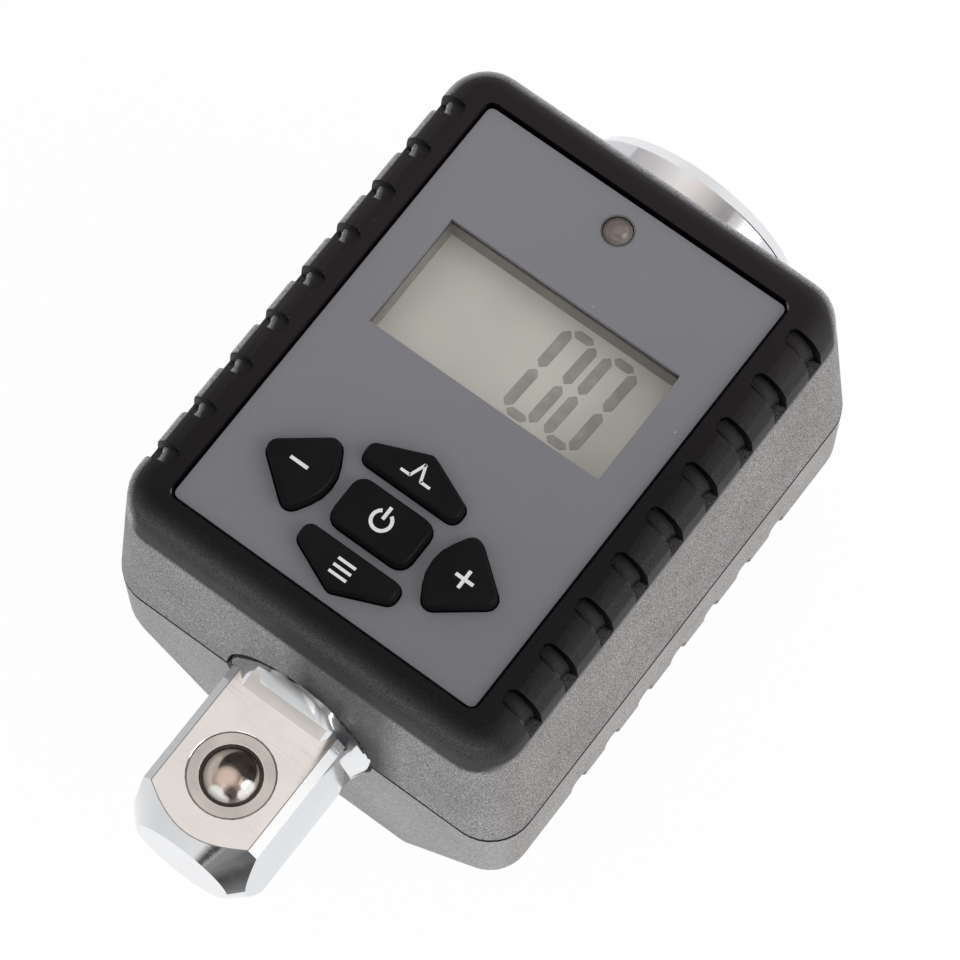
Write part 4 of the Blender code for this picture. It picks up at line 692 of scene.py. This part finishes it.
def makeChromeMaterial():
    look = chromeLook
    material, tree, shader = newMaterial("chromePlate")
    scratch = place(tree, scratchGroup, Size=1.0)
    low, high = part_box("torsion_shaft")
    point = separate(tree, objectPoint(tree))
    flat = facing(tree, "True Normal")
    across = ramp(tree, facing(tree)["X"], -1.0, 1.0)
    onDrive = below(tree, point["Y"], look["driveEnds"])
    up = times(tree, ramp(tree, flat["Z"], *look["flatFacing"]), onDrive)
    tone, chamfers = shadeSquare(tree, point, flat, across, up, onDrive)
    # The round collar gets painted reflection bands, by which way it faces
    bands = stops(tree, across, [((at + 1) / 2, colour) for at, colour in look["round"]])
    collar = below(tree, sizeOf(tree, flat["Y"]), look["roundFacing"])
    collar = times(tree, collar, above(tree, point["Y"], -look["driveEnds"]))
    tone = mixColour(tree, collar, tone, bands)
    # A thin dark outline round the flat: along its sides and along the arc at the tip
    wide = above(tree, sizeOf(tree, point["X"]), look["flatHalf"])
    arc = plus(tree, hypot(tree, point["X"], halfDrive), low.y - look["tipRadius"])
    tipped = below(tree, minus(tree, point["Y"], arc), look["outlineWidth"])
    tone = mixColour(tree, times(tree, larger(tree, wide, tipped), up), tone, look["outline"])
    tone = stain(tree, tone, scratch["Smudge"], look["smudge"])
    tone = stain(tree, tone, times(tree, scratch["Marks"], up), look["marks"])
    # A dark line painted by the collar's chamfer, standing in for the dark reflection along its edge
    off = sizeOf(tree, minus(tree, point["Y"], high.y - look["lineBack"]))
    line = times(tree, below(tree, off, look["lineHalf"]), ramp(tree, point["X"], *look["lineFrom"]))
    tone = mixColour(tree, line, tone, look["line"])
    # The long chamfers and the collar are made mostly non-metallic, so their painted reflection tones show as
    # colour
    paintedToneShare = times(tree, larger(tree, chamfers, collar), look["paintedToneShare"])
    join(tree, minus(tree, 1.0, paintedToneShare), shader.inputs["Metallic"])
    rough = linear(tree, up, look["flatRoughness"], look["roughness"])
    paint(tree, shader, tone, wornRoughness(tree, scratch, look, rough))
    bump(tree, scratch["Marks"], *look["bump"], shader)
    return material


steelLook = {
    "scratch": 1.4,
    "smudge": (0.72, 0.6),              # of the colour, and how much of it shows
    "markRoughness": 0.14,
    "smudgeRoughness": 0.06,
    "fixed": {"Metallic": 1.0},
    "bump": (0.06, 0.02 * mm),
}
steelTones = {                          # colour and roughness
    "brightSteel": ((0.62, 0.60, 0.57), 0.22),
    "pocketShade": ((0.060, 0.048, 0.042), 0.35),
    "stakedSteel": ((0.610, 0.555, 0.510), 0.24),
}


def makeSteelMaterial(name, colour, roughness):
    # Bare metal with hair-thin marks
    look = steelLook
    material, tree, shader = newMaterial(name, look["fixed"])
    scratch = place(tree, scratchGroup, Size=look["scratch"])
    depth, share = look["smudge"]
    tone = stain(tree, colour, scratch["Smudge"], (scaled(colour, depth), share))
    paint(tree, shader, tone, wornRoughness(tree, scratch, look, roughness))
    bump(tree, scratch["Marks"], *look["bump"], shader)
    return material


ballLook = {
    "base": (0.58, 0.50, 0.43),
    # Each painted reflection spot: its place as (across, up), where it is full, where it ends, its colour
    "reflectionSpots": (
        ((0.22, 0.30), 0.60, 0.66, (0.022, 0.015, 0.011)),
        ((-0.10, -0.04), 0.46, 0.54, (0.40, 0.29, 0.24)),
        ((-0.14, 0.10), 0.24, 0.44, (0.78, 0.58, 0.49)),
        ((0.02, -0.42), 0.16, 0.34, (0.050, 0.026, 0.018)),
        ((-0.50, -0.40), 0.22, 0.32, (0.93, 0.91, 0.88)),
        ((-0.26, -0.62), 0.14, 0.24, (0.93, 0.91, 0.88)),
        ((0.56, -0.20), 0.17, 0.26, (0.93, 0.91, 0.88)),
        ((0.42, -0.46), 0.15, 0.24, (0.93, 0.91, 0.88)),
    ),
    "axes": ((0.7986, 0.6018, 0.0), (-0.5655, 0.7505, 0.342)),
    "smudge": ((0.30, 0.25, 0.21), 0.25),
    "scratch": 1.4,
    "roughness": (0.10, 0.10),          # what the marks add, and where they start
    "fixed": {"Metallic": 0.25},
}


def makeBallMaterial():
    # Satin steel with painted reflections: dark towards the top, brown in the middle, with bright patches
    look = ballLook
    material, tree, shader = newMaterial("bearingSteel", look["fixed"])
    normal = addNode(tree, "ShaderNodeNewGeometry").outputs["Normal"]
    across, up = (leaning(tree, normal, axis) for axis in look["axes"])
    tone = look["base"]
    for (spotAcross, spotUp), full, end, colour in look["reflectionSpots"]:
        away = hypot(tree, minus(tree, across, spotAcross), minus(tree, up, spotUp))
        tone = mixColour(tree, ramp(tree, away, end, full), tone, colour)
    scratch = place(tree, scratchGroup, Size=look["scratch"])
    tone = stain(tree, tone, scratch["Smudge"], look["smudge"])
    paint(tree, shader, tone, linear(tree, scratch["Marks"], *look["roughness"]))
    return material


lampLook = {
    "colours": ((0.165, 0.125, 0.112), (0.235, 0.185, 0.165)),
    "haze": 1500.0,
    "hazeRange": (0.35, 0.7),
    "far": ((0.075, 0.058, 0.052), 0.6),
    "farAxis": (-0.6, 0.8),
    "farFrom": (-0.1 * mm, 0.7 * mm),
    "ring": (0.190, 0.182, 0.168),
    "ringFrom": (1.15 * mm, 1.30 * mm),
    "roughness": (-1.0, 9.0),
    "fixed": {"Transmission Weight": 0.10, "IOR": 1.5},
}


def makeLampMaterial():
    look = lampLook
    material, tree, shader = newMaterial("lampLens", look["fixed"])
    haze = noise(tree, objectPoint(tree), look["haze"], detail=2.0)
    tone = mixColour(tree, ramp(tree, haze, *look["hazeRange"]), *look["colours"])
    # The far half is darker, and a paler ring runs round the foot of the dome
    middle = middleOf("status_led")
    point = separate(tree, objectPoint(tree))
    across = minus(tree, point["X"], middle.x)
    along = minus(tree, point["Y"], middle.y)
    lean = plus(tree, times(tree, across, look["farAxis"][0]), times(tree, along, look["farAxis"][1]))
    tone = stain(tree, tone, ramp(tree, lean, *look["farFrom"]), look["far"])
    tone = mixColour(tree, ramp(tree, hypot(tree, across, along), *look["ringFrom"]), tone, look["ring"])
    paint(tree, shader, tone, ramp(tree, haze, *look["roughness"]))
    return material


# Finishes of the cells and of all that is plain

cellLook = {
    "sleeve": (0.045, 0.055, 0.095),
    "band": (0.55, 0.36, 0.15),
    "bandFrom": -10 * mm,           # from the middle of the cell
    "bandMetallic": 0.6,
    "smudge": ((0.02, 0.02, 0.03), 0.25),
    "roughness": 0.3,
    "grain": 3000.0,
    "bump": (0.06, 0.04 * mm),
}


def makeCellMaterial():
    # A plain sleeve with a bright band towards one end
    look = cellLook
    material, tree, shader = newMaterial("cellSleeve")
    grain = place(tree, grainGroup, Grain=look["grain"])
    point = separate(tree, objectPoint(tree))
    low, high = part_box("battery_left")
    along = minus(tree, point["Y"], (low.y + high.y) / 2)
    band = below(tree, times(tree, along, maths(tree, "SIGN", point["X"])), look["bandFrom"])
    tone = mixColour(tree, band, look["sleeve"], look["band"])
    paint(tree, shader, stain(tree, tone, grain["Cloud"], look["smudge"]), look["roughness"])
    join(tree, times(tree, band, look["bandMetallic"]), shader.inputs["Metallic"])
    bump(tree, grain["Height"], *look["bump"], shader)
    return material


plainLook = {"roughVariation": 0.12, "bumpDistance": 0.05 * mm}
plainTones = {                      # colour, roughness, and what differs from the usual
    # The liner is painted a lighter grey to stand in for the light through the lens: painted light
    "windowLinerPaintedLight": ((0.260, 0.245, 0.225), 0.5, {}),
    "paleMoulding": ((0.33, 0.31, 0.28), 0.5, {}),
    # A dark sheet at the dish's rim: painted shade of its step
    "dishEdgeShade": ((0.175, 0.140, 0.118), 0.5, {}),
    "lampBezel": ((0.150, 0.145, 0.138), 0.45, {}),
    "blackRubber": ((0.018, 0.018, 0.018), 0.65, {"depth": 0.3}),
    "boardLacquer": ((0.012, 0.105, 0.045), 0.35, {"grain": 2500.0, "spread": 0.35}),
    "blackComponent": ((0.016, 0.016, 0.017), 0.48, {}),
    "gaugeFoil": ((0.55, 0.32, 0.13), 0.35, {"metallic": 0.5}),
    "redWire": ((0.42, 0.018, 0.018), 0.45, {}),
    "blackWire": ((0.02, 0.02, 0.02), 0.45, {}),
    "whiteWire": ((0.62, 0.61, 0.58), 0.45, {}),
}


def makePlainMaterial(name, colour, roughness, metallic=0.0, grain=5000.0, depth=0.15, spread=0.18):
    # A plain finish that still varies: clouds in its colour, speckle in its roughness and a fine bump
    material, tree, shader = newMaterial(name, {"Metallic": metallic})
    texture = place(tree, grainGroup, Grain=grain)
    tone = mixColour(tree, texture["Cloud"], colour, scaled(colour, 1 - spread))
    paint(tree, shader, tone, linear(tree, texture["Speckle"], plainLook["roughVariation"], roughness))
    bump(tree, texture["Height"], depth, plainLook["bumpDistance"], shader)
    return material


wallFinish = makeShellMaterial("wallPlastic", shellLook["wall"], True)
footFinish = makeShellMaterial("footPlastic", shellLook["foot"], False)
panelFinish = makePanelMaterial()
keyFinish = makeKeyMaterial()
printFinish = makePrintMaterial()
lensFinish = makeLensMaterial()
crystalFinish = makeCrystalMaterial()
segmentFinish = makeSegmentMaterial()
chromeFinish = makeChromeMaterial()
ballFinish = makeBallMaterial()
steels = {name: makeSteelMaterial(name, *tone) for name, tone in steelTones.items()}
lampFinish = makeLampMaterial()
cellFinish = makeCellMaterial()
plain = {name: makePlainMaterial(name, colour, roughness, **changes)
         for name, (colour, roughness, changes) in plainTones.items()}
print("finishes ready")


# CAD nodes that keep their own shape

plainNodes = (
    (crystalFinish, ("lcd_glass",)),
    (lensFinish, ("window_lens",)),
    (plain["paleMoulding"], ("lcd_frame",)),
    (plain["blackRubber"], ("zebra_strip", "front_seal", "rear_seal")),
    (plain["boardLacquer"], ("circuit_board",)),
    (plain["blackComponent"], ("buzzer", "controller_chip")),
    (plain["gaugeFoil"], ("strain_gauge_left", "strain_gauge_right")),
    (plain["whiteWire"], ("gauge_lead_left", "gauge_lead_right")),
    (plain["blackWire"], ("battery_lead_minus",)),
    (plain["redWire"], ("battery_lead_plus",)),
    (steels["brightSteel"], ("locating_pin", "contact_minus", "contact_plus", "contact_bridge",
                             "contact_spring_front", "contact_spring_rear", "board_screw_1",
                             "board_screw_2")),
)

for finish, names in plainNodes:
    for name in names:
        for slot in nodes[name].material_slots:
            slot.material = finish
print("plain nodes dressed:", sum(len(names) for finish, names in plainNodes))


# CAD nodes that are smoothed and softened

keyNames = [name for name in nodes if name.startswith("key_")]
skins = {                           # finish, angle in degrees that stays sharp, width of the softened edge
    "upper_housing": (wallFinish, 32, 0.0),
    "lower_housing": (footFinish, 32, 0.0),
    "battery_cover": (footFinish, 32, 0.12 * mm),
    "front_panel": (panelFinish, 32, 0.10 * mm),
    "torsion_shaft": (chromeFinish, 30, 0.0),
    "status_led": (lampFinish, 40, 0.0),
    "battery_left": (cellFinish, 32, 0.25 * mm),
    "battery_right": (cellFinish, 32, 0.25 * mm),
}
skins.update({f"housing_screw_{number}": (steels["brightSteel"], 32, 0.0) for number in range(1, 5)})
skins.update({name: (keyFinish, 55, 0.0) for name in keyNames})
skinShape = {"weld": 0.002 * mm, "flatWithin": 0.4, "edgeSegments": 2}


def bodyOf(name):
    for body, members in frame["record"]["behaviour"]["bodies"].items():
        if name in members:
            return body


def toMesh(name, bm):
    mesh = bpy.data.meshes.new(name)
    bm.to_mesh(mesh)
    bm.free()
    return mesh


def addObject(name, mesh):
    made = bpy.data.objects.new(name, mesh)
    bpy.context.scene.collection.objects.link(made)
    return made


def finishMesh(mesh, finish, angle):
    mesh.materials.append(finish)
    mesh.shade_smooth()
    mesh.set_sharp_from_angle(angle=math.radians(angle))


def softCopy(name, finish, angle=32, edgeWidth=0.0):
    # A welded, smooth-shaded copy that stands for the node
    bm = bmesh.new()
    bm.from_mesh(nodes[name].data)
    bmesh.ops.remove_doubles(bm, verts=bm.verts, dist=skinShape["weld"])
    flatWithin = math.radians(skinShape["flatWithin"])
    bmesh.ops.dissolve_limit(bm, angle_limit=flatWithin, verts=bm.verts, edges=bm.edges)
    mesh = toMesh(name + "_shell", bm)
    carried = mesh.attributes.get("custom_normal")
    if carried:
        mesh.attributes.remove(carried)
    finishMesh(mesh, finish, angle)
    piece = addObject(name + "_skin", mesh)
    if edgeWidth:
        edge = piece.modifiers.new("softEdge", "BEVEL")
        edge.width = edgeWidth
        edge.segments = skinShape["edgeSegments"]
        edge.limit_method = "ANGLE"
        edge.angle_limit = math.radians(angle)
        edge.harden_normals = True
    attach(piece, bodyOf(name))
    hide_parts(name)
    return piece


for name, (finish, angle, width) in skins.items():
    softCopy(name, finish, angle, width)
print("smoothed skins:", len(skins))


# Springs and key domes that give way

def makeSprings():
    made = 0
    for joint in frame["record"]["behaviour"]["joints"]:
        for row in joint.get("deforming_nodes", []):
            spring = softCopy(row["node"], steels["brightSteel"])
            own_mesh(spring)
            made += 1
    return made


print("springs that give way:", makeSprings())


# Detent ball and the rings round it

ballShape = {"segments": 48, "rings": 24}
ringShape = {                       # inner radius, outer radius, height from the face of the square, finish
    "darkRing": (2.60 * mm, 3.14 * mm, -0.155 * mm, steels["pocketShade"]),
    "stakedRing": (3.04 * mm, 3.99 * mm, -0.09 * mm, steels["stakedSteel"]),
    # The edge ring is a dark sheet at the dish's rim: painted shade of its step
    "edgeRing": (3.96 * mm, 4.12 * mm, -0.05 * mm, plain["dishEdgeShade"]),
}
ringSize = {"thick": 0.03 * mm, "segments": 64}
smoothAngle = 35                    # degrees, on the pieces that are made here


def newPiece(name, bm, finish, body):
    bmesh.ops.recalc_face_normals(bm, faces=bm.faces)
    mesh = toMesh(name, bm)
    finishMesh(mesh, finish, smoothAngle)
    piece = addObject(name, mesh)
    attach(piece, body)
    return piece


def addAnnulus(bm, centre, inner, outer, z, thick, segments):
    # A flat ring: its section spun right round
    corners = ((inner, z - thick), (outer, z - thick), (outer, z), (inner, z))
    verts = [bm.verts.new((radius, 0, height)) for radius, height in corners]
    edges = [bm.edges.new((verts[index], verts[(index + 1) % 4])) for index in range(4)]
    bmesh.ops.spin(bm, geom=verts + edges, axis=(0, 0, 1), cent=(0, 0, 0), steps=segments,
                   angle=math.tau, use_merge=True)
    bmesh.ops.translate(bm, verts=bm.verts, vec=(centre.x, centre.y, 0))


def makePocketRings():
    centre = middleOf("detent_ball")
    shaftLow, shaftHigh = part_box("torsion_shaft")
    face = (shaftLow.z + shaftHigh.z) / 2 + halfDrive
    for name, (inner, outer, height, finish) in ringShape.items():
        bm = bmesh.new()
        addAnnulus(bm, centre, inner, outer, face + height, ringSize["thick"], ringSize["segments"])
        newPiece("pocket_" + name, bm, finish, "adapter")


def makeBall():
    low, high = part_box("detent_ball")
    bm = bmesh.new()
    radius = (high.z - low.z) / 2
    bmesh.ops.create_uvsphere(bm, u_segments=ballShape["segments"], v_segments=ballShape["rings"],
                              radius=radius)
    bmesh.ops.translate(bm, verts=bm.verts, vec=(low + high) / 2)
    ball = newPiece("polished_ball", bm, ballFinish, "detent_ball")
    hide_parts("detent_ball")


makePocketRings()
makeBall()
print("detent ball done")


# Lamp bezel

bezelShape = {"inner": 1.45 * mm, "outer": 1.585 * mm, "drop": 0.04 * mm, "thick": 0.15 * mm, "segments": 48}


def makeBezel():
    # The thin ring between the lamp and the panel
    shape = bezelShape
    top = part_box("front_panel")[1].z - shape["drop"]
    centre = middleOf("status_led")
    bm = bmesh.new()
    addAnnulus(bm, centre, shape["inner"], shape["outer"], top, shape["thick"], shape["segments"])
    newPiece("lamp_bezel", bm, plain["lampBezel"], "adapter")


makeBezel()
print("lamp bezel done")


# Window liner

linerShape = {
    "hole": (12.6 * mm, 6.1 * mm),      # half the panel's window
    "lap": 0.26 * mm,                   # how far the liner goes under the panel
    "wall": 0.2 * mm,
    "clearance": 0.04 * mm,
}


def makeLiner():
    # The moulded sides of the window well, seen between the panel and the display; their colour is painted
    # lighter to stand in for the light through the lens
    shape = linerShape
    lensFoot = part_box("window_lens")[0].z
    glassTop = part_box("lcd_glass")[1].z
    halfWidth, halfLength = shape["hole"]
    bm = bmesh.new()
    bmesh.ops.create_grid(bm, x_segments=1, y_segments=1, size=1.0)
    bmesh.ops.scale(bm, verts=bm.verts, vec=(halfWidth + shape["lap"], halfLength + shape["lap"], 1))
    bmesh.ops.inset_individual(bm, faces=bm.faces, thickness=shape["wall"])
    middle = max(bm.faces, key=lambda face: face.calc_area())
    bmesh.ops.delete(bm, geom=[middle], context="FACES_ONLY")
    grown = bmesh.ops.extrude_face_region(bm, geom=bm.faces[:])
    height = lensFoot - glassTop - 2 * shape["clearance"]
    raised = [item for item in grown["geom"] if isinstance(item, bmesh.types.BMVert)]
    bmesh.ops.translate(bm, verts=raised, vec=(0, 0, height))
    centre = middleOf("window_lens")
    bmesh.ops.translate(bm, verts=bm.verts, vec=(centre.x, centre.y, glassTop + shape["clearance"]))
    newPiece("window_liner", bm, plain["windowLinerPaintedLight"], "adapter")


makeLiner()
print("window liner done")


# Display digits

digitShape = {
    "count": 2,
    "firstX": 0.95 * mm,         # lower left stroke of the first digit, from the panel's middle
    "baseY": 1.95 * mm,
    "pitch": 4.42 * mm,
    "width": 2.75 * mm,
    "height": 9.45 * mm,
    "stroke": 1.08 * mm,
    "flatStroke": 0.8,           # of the stroke, for the bars across
    "slant": 0.055,
    "gap": 0.168 * mm,
    "point": 0.42,
    "thick": 0.02 * mm,
}


def addBar(bm, start, end, width, z, thick, point):
    # A flat bar from start to end, its ends cut to a point or just eased
    start, end = Vector(start), Vector(end)
    along = end - start
    verts = bmesh.ops.create_cube(bm, size=1.0)["verts"]
    bmesh.ops.scale(bm, verts=verts, vec=(along.length, width, thick))
    edges = [edge for edge in {edge for vert in verts for edge in vert.link_edges}
             if abs(edge.verts[0].co.z - edge.verts[1].co.z) > thick / 2]
    bevelled = bmesh.ops.bevel(bm, geom=edges, offset=width * point, segments=1, profile=0.5,
                               affect="EDGES", material=-1)
    verts = list({vert for face in bevelled["faces"] for vert in face.verts})
    turn = Matrix.Rotation(math.atan2(along.y, along.x), 3, "Z")
    bmesh.ops.rotate(bm, verts=verts, matrix=turn)
    middle = (start + end) / 2
    bmesh.ops.translate(bm, verts=verts, vec=(middle.x, middle.y, z))


def makeDigits():
    # Plain seven-segment noughts
    shape = digitShape
    middle = middleOf("front_panel")
    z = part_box("lcd_glass")[1].z + shape["thick"]
    half = shape["height"] / 2
    gap = shape["gap"]
    bm = bmesh.new()
    for index in range(shape["count"]):
        left = middle.x + shape["firstX"] + shape["pitch"] * index
        base = middle.y + shape["baseY"]

        def bar(u1, v1, u2, v2, width):
            ends = [(left + u + shape["slant"] * v, base + v) for u, v in ((u1, v1), (u2, v2))]
            addBar(bm, *ends, width, z, shape["thick"], shape["point"])

        for u in (0.0, shape["width"]):
            for foot in (0.0, half):
                bar(u, foot + gap, u, foot + half - gap, shape["stroke"])
        for v in (0.0, shape["height"]):
            bar(gap * 2, v, shape["width"] - gap * 2, v, shape["stroke"] * shape["flatStroke"])
    newPiece("display_digits", bm, segmentFinish, "adapter")


makeDigits()
print("digits done")


# Key legends

legendShape = {
    "stroke": 0.34 * mm,
    "thick": 0.03 * mm,
    "sunk": 0.3,                # of the thickness, below the top of the key
    "point": 0.08,
    "ring": {"radius": 0.95 * mm, "opening": 62, "steps": 28},      # the opening is in degrees
}
legendLines = {                 # share of the stroke, and lines from x1, y1 to x2, y2 in mm
    "key_minus": (1.0, ((-0.95, 0, 0.95, 0),)),
    "key_plus": (1.0, ((-0.95, 0, 0.95, 0), (0, -0.95, 0, -0.17), (0, 0.17, 0, 0.95))),
    "key_power": (1.0, ((0, 0.15, 0, 1.50),)),
    "key_peak_track": (0.8, ((-1.6, -0.75, -0.55, -0.75), (-0.6, -0.8, 0, 0.85),
                             (0, 0.85, 0.6, -0.8), (0.55, -0.75, 1.6, -0.75))),
    "key_mode": (0.85, tuple((-0.95, y, 0.95, y) for y in (-0.7, 0.0, 0.7))),
}


def addRing(bm, centre, z):
    # A flat ring that is open at its top
    ring = legendShape["ring"]
    half = math.radians(ring["opening"] / 2)
    verts = bmesh.ops.create_grid(bm, x_segments=1, y_segments=1, size=0.5)["verts"]
    bmesh.ops.scale(bm, verts=verts, vec=(legendShape["stroke"], legendShape["thick"], 1))
    bmesh.ops.rotate(bm, verts=verts, matrix=Matrix.Rotation(math.pi / 2, 3, "X"))
    bmesh.ops.rotate(bm, verts=verts, matrix=Matrix.Rotation(math.pi / 2 - half, 3, "Z"))
    start = (ring["radius"] * math.sin(half), ring["radius"] * math.cos(half), 0)
    bmesh.ops.translate(bm, verts=verts, vec=start)
    bmesh.ops.spin(bm, geom=bm.faces[:] + bm.edges[:] + bm.verts[:], axis=(0, 0, -1), cent=(0, 0, 0),
                   steps=ring["steps"], angle=math.tau - 2 * half)
    bmesh.ops.translate(bm, verts=bm.verts, vec=(centre.x, centre.y, z))


def makeLegends():
    shape = legendShape
    for name in keyNames:
        centre = middleOf(name)
        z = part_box(name)[1].z + shape["thick"] * (0.5 - shape["sunk"])
        bm = bmesh.new()
        if name == "key_power":
            addRing(bm, centre, z)
        share, lines = legendLines[name]
        for x1, y1, x2, y2 in lines:
            ends = [(centre.x + x * mm, centre.y + y * mm) for x, y in ((x1, y1), (x2, y2))]
            addBar(bm, *ends, shape["stroke"] * share, z, shape["thick"], shape["point"])
        newPiece(name.replace("key", "legend"), bm, printFinish, bodyOf(name))


makeLegends()
print("legends done")


# Floor, light and camera

stageLook = {
    "floorColour": (0.92, 0.92, 0.92),
    "floorRoughness": 0.85,
    "floorFixed": {"Specular IOR Level": 0.0},
    "floorSize": 3.0,
    "cameraWhite": 0.97,        # how much of a plain white the camera and the metal see in the floor
}


def makeFloor():
    look = stageLook
    bm = bmesh.new()
    bmesh.ops.create_grid(bm, x_segments=1, y_segments=1, size=look["floorSize"])
    floor = addObject("floor", toMesh("floor", bm))
    material, tree, shader = newMaterial("paleFloor", look["floorFixed"])
    paint(tree, shader, look["floorColour"], look["floorRoughness"])
    rays = addNode(tree, "ShaderNodeLightPath").outputs
    white = addNode(tree, "ShaderNodeEmission")
    white.inputs["Color"].default_value = (1, 1, 1, 1)
    seen = larger(tree, rays["Is Camera Ray"], rays["Is Glossy Ray"])
    seen = larger(tree, seen, rays["Is Transmission Ray"])
    mixShaders(tree, times(tree, seen, look["cameraWhite"]), shader, white)
    floor.data.materials.append(material)


studio = {
    "leftSky": ((0.00, 1.0), (0.15, 0.9), (0.35, 0.66), (0.60, 0.66), (0.85, 0.85), (1.00, 1.0)),
    "rightSky": ((0.00, 1.0), (0.45, 1.0), (0.56, 0.90), (0.63, 0.25), (0.86, 0.30), (0.95, 0.95),
                 (1.00, 1.0)),
    "parting": (-0.05, 0.25),       # where the left sky gives way to the right one, along X
    "flag": {"direction": (0.45, -0.89, 0.06), "edge": 0.955, "core": 0.985, "colour": (0.06, 0.06, 0.06)},
}


def makeWorld():
    # Each sky runs from the horizon to straight above, and a dark flag hangs in front
    world = bpy.data.worlds.new("studio")
    bpy.context.scene.world = world
    world.use_nodes = True
    tree = world.node_tree
    ownTrees.append(tree)
    direction = addNode(tree, "ShaderNodeTexCoord").outputs["Generated"]
    parts = separate(tree, direction)
    left, right = (stops(tree, parts["Z"], studio[side], "EASE") for side in ("leftSky", "rightSky"))
    both = mixColour(tree, ramp(tree, parts["X"], *studio["parting"]), left, right)
    flag = studio["flag"]
    towards = leaning(tree, direction, Vector(flag["direction"]).normalized())
    sky = mixColour(tree, ramp(tree, towards, flag["edge"], flag["core"]), both, flag["colour"])
    join(tree, sky, tree.nodes["Background"].inputs["Color"])


lamps = {
    "rightSoftbox": {"place": (0.65, 0.10, 0.45), "aim": (0, 0, 0.02), "size": 0.50, "power": 2.2},
    "frontSoftbox": {"place": (0.10, -0.70, 0.45), "aim": (0, 0, 0.02), "size": 0.40, "power": 0.3},
}


def makeLamps():
    for name, look in lamps.items():
        data = bpy.data.lights.new(name, "AREA")
        data.shape = "SQUARE"
        data.size = look["size"]
        data.energy = look["power"]
        lamp = addObject(name, data)
        lamp.location = look["place"]
        aim = Vector(look["aim"]) - Vector(look["place"])
        lamp.rotation_euler = aim.to_track_quat("-Z", "Y").to_euler()


view = {
    "azimuth": 37.260,
    "elevation": 69.911,
    "roll": -0.432,
    "distance": 402.83 * mm,
    "aim": (3.798 * mm, -5.371 * mm, -2.404 * mm),     # from the middle of the panel's face
    "lens": 171.85,
    "sensor": 36,
}


def makeCamera():
    turn, lift, roll = (math.radians(view[name]) for name in ("azimuth", "elevation", "roll"))
    back = Vector((math.sin(turn) * math.cos(lift), -math.cos(turn) * math.cos(lift), math.sin(lift)))
    right = Vector((math.cos(turn), math.sin(turn), 0))
    up = back.cross(right)
    across = right * math.cos(roll) + up * math.sin(roll)
    upward = up * math.cos(roll) - right * math.sin(roll)
    data = bpy.data.cameras.new("photoCamera")
    data.lens = view["lens"]
    data.sensor_width = view["sensor"]
    camera = addObject("photoCamera", data)
    spin = Matrix((across, upward, back)).transposed().to_4x4()
    low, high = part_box("front_panel")
    aim = Vector(((low.x + high.x) / 2, (low.y + high.y) / 2, high.z)) + Vector(view["aim"])
    camera.matrix_world = Matrix.Translation(aim + back * view["distance"]) @ spin
    bpy.context.scene.camera = camera


makeFloor()
makeWorld()
makeLamps()
makeCamera()
bpy.context.scene.view_settings.view_transform = "Standard"
for tree in ownTrees:
    arrange(tree)
print("stage ready")
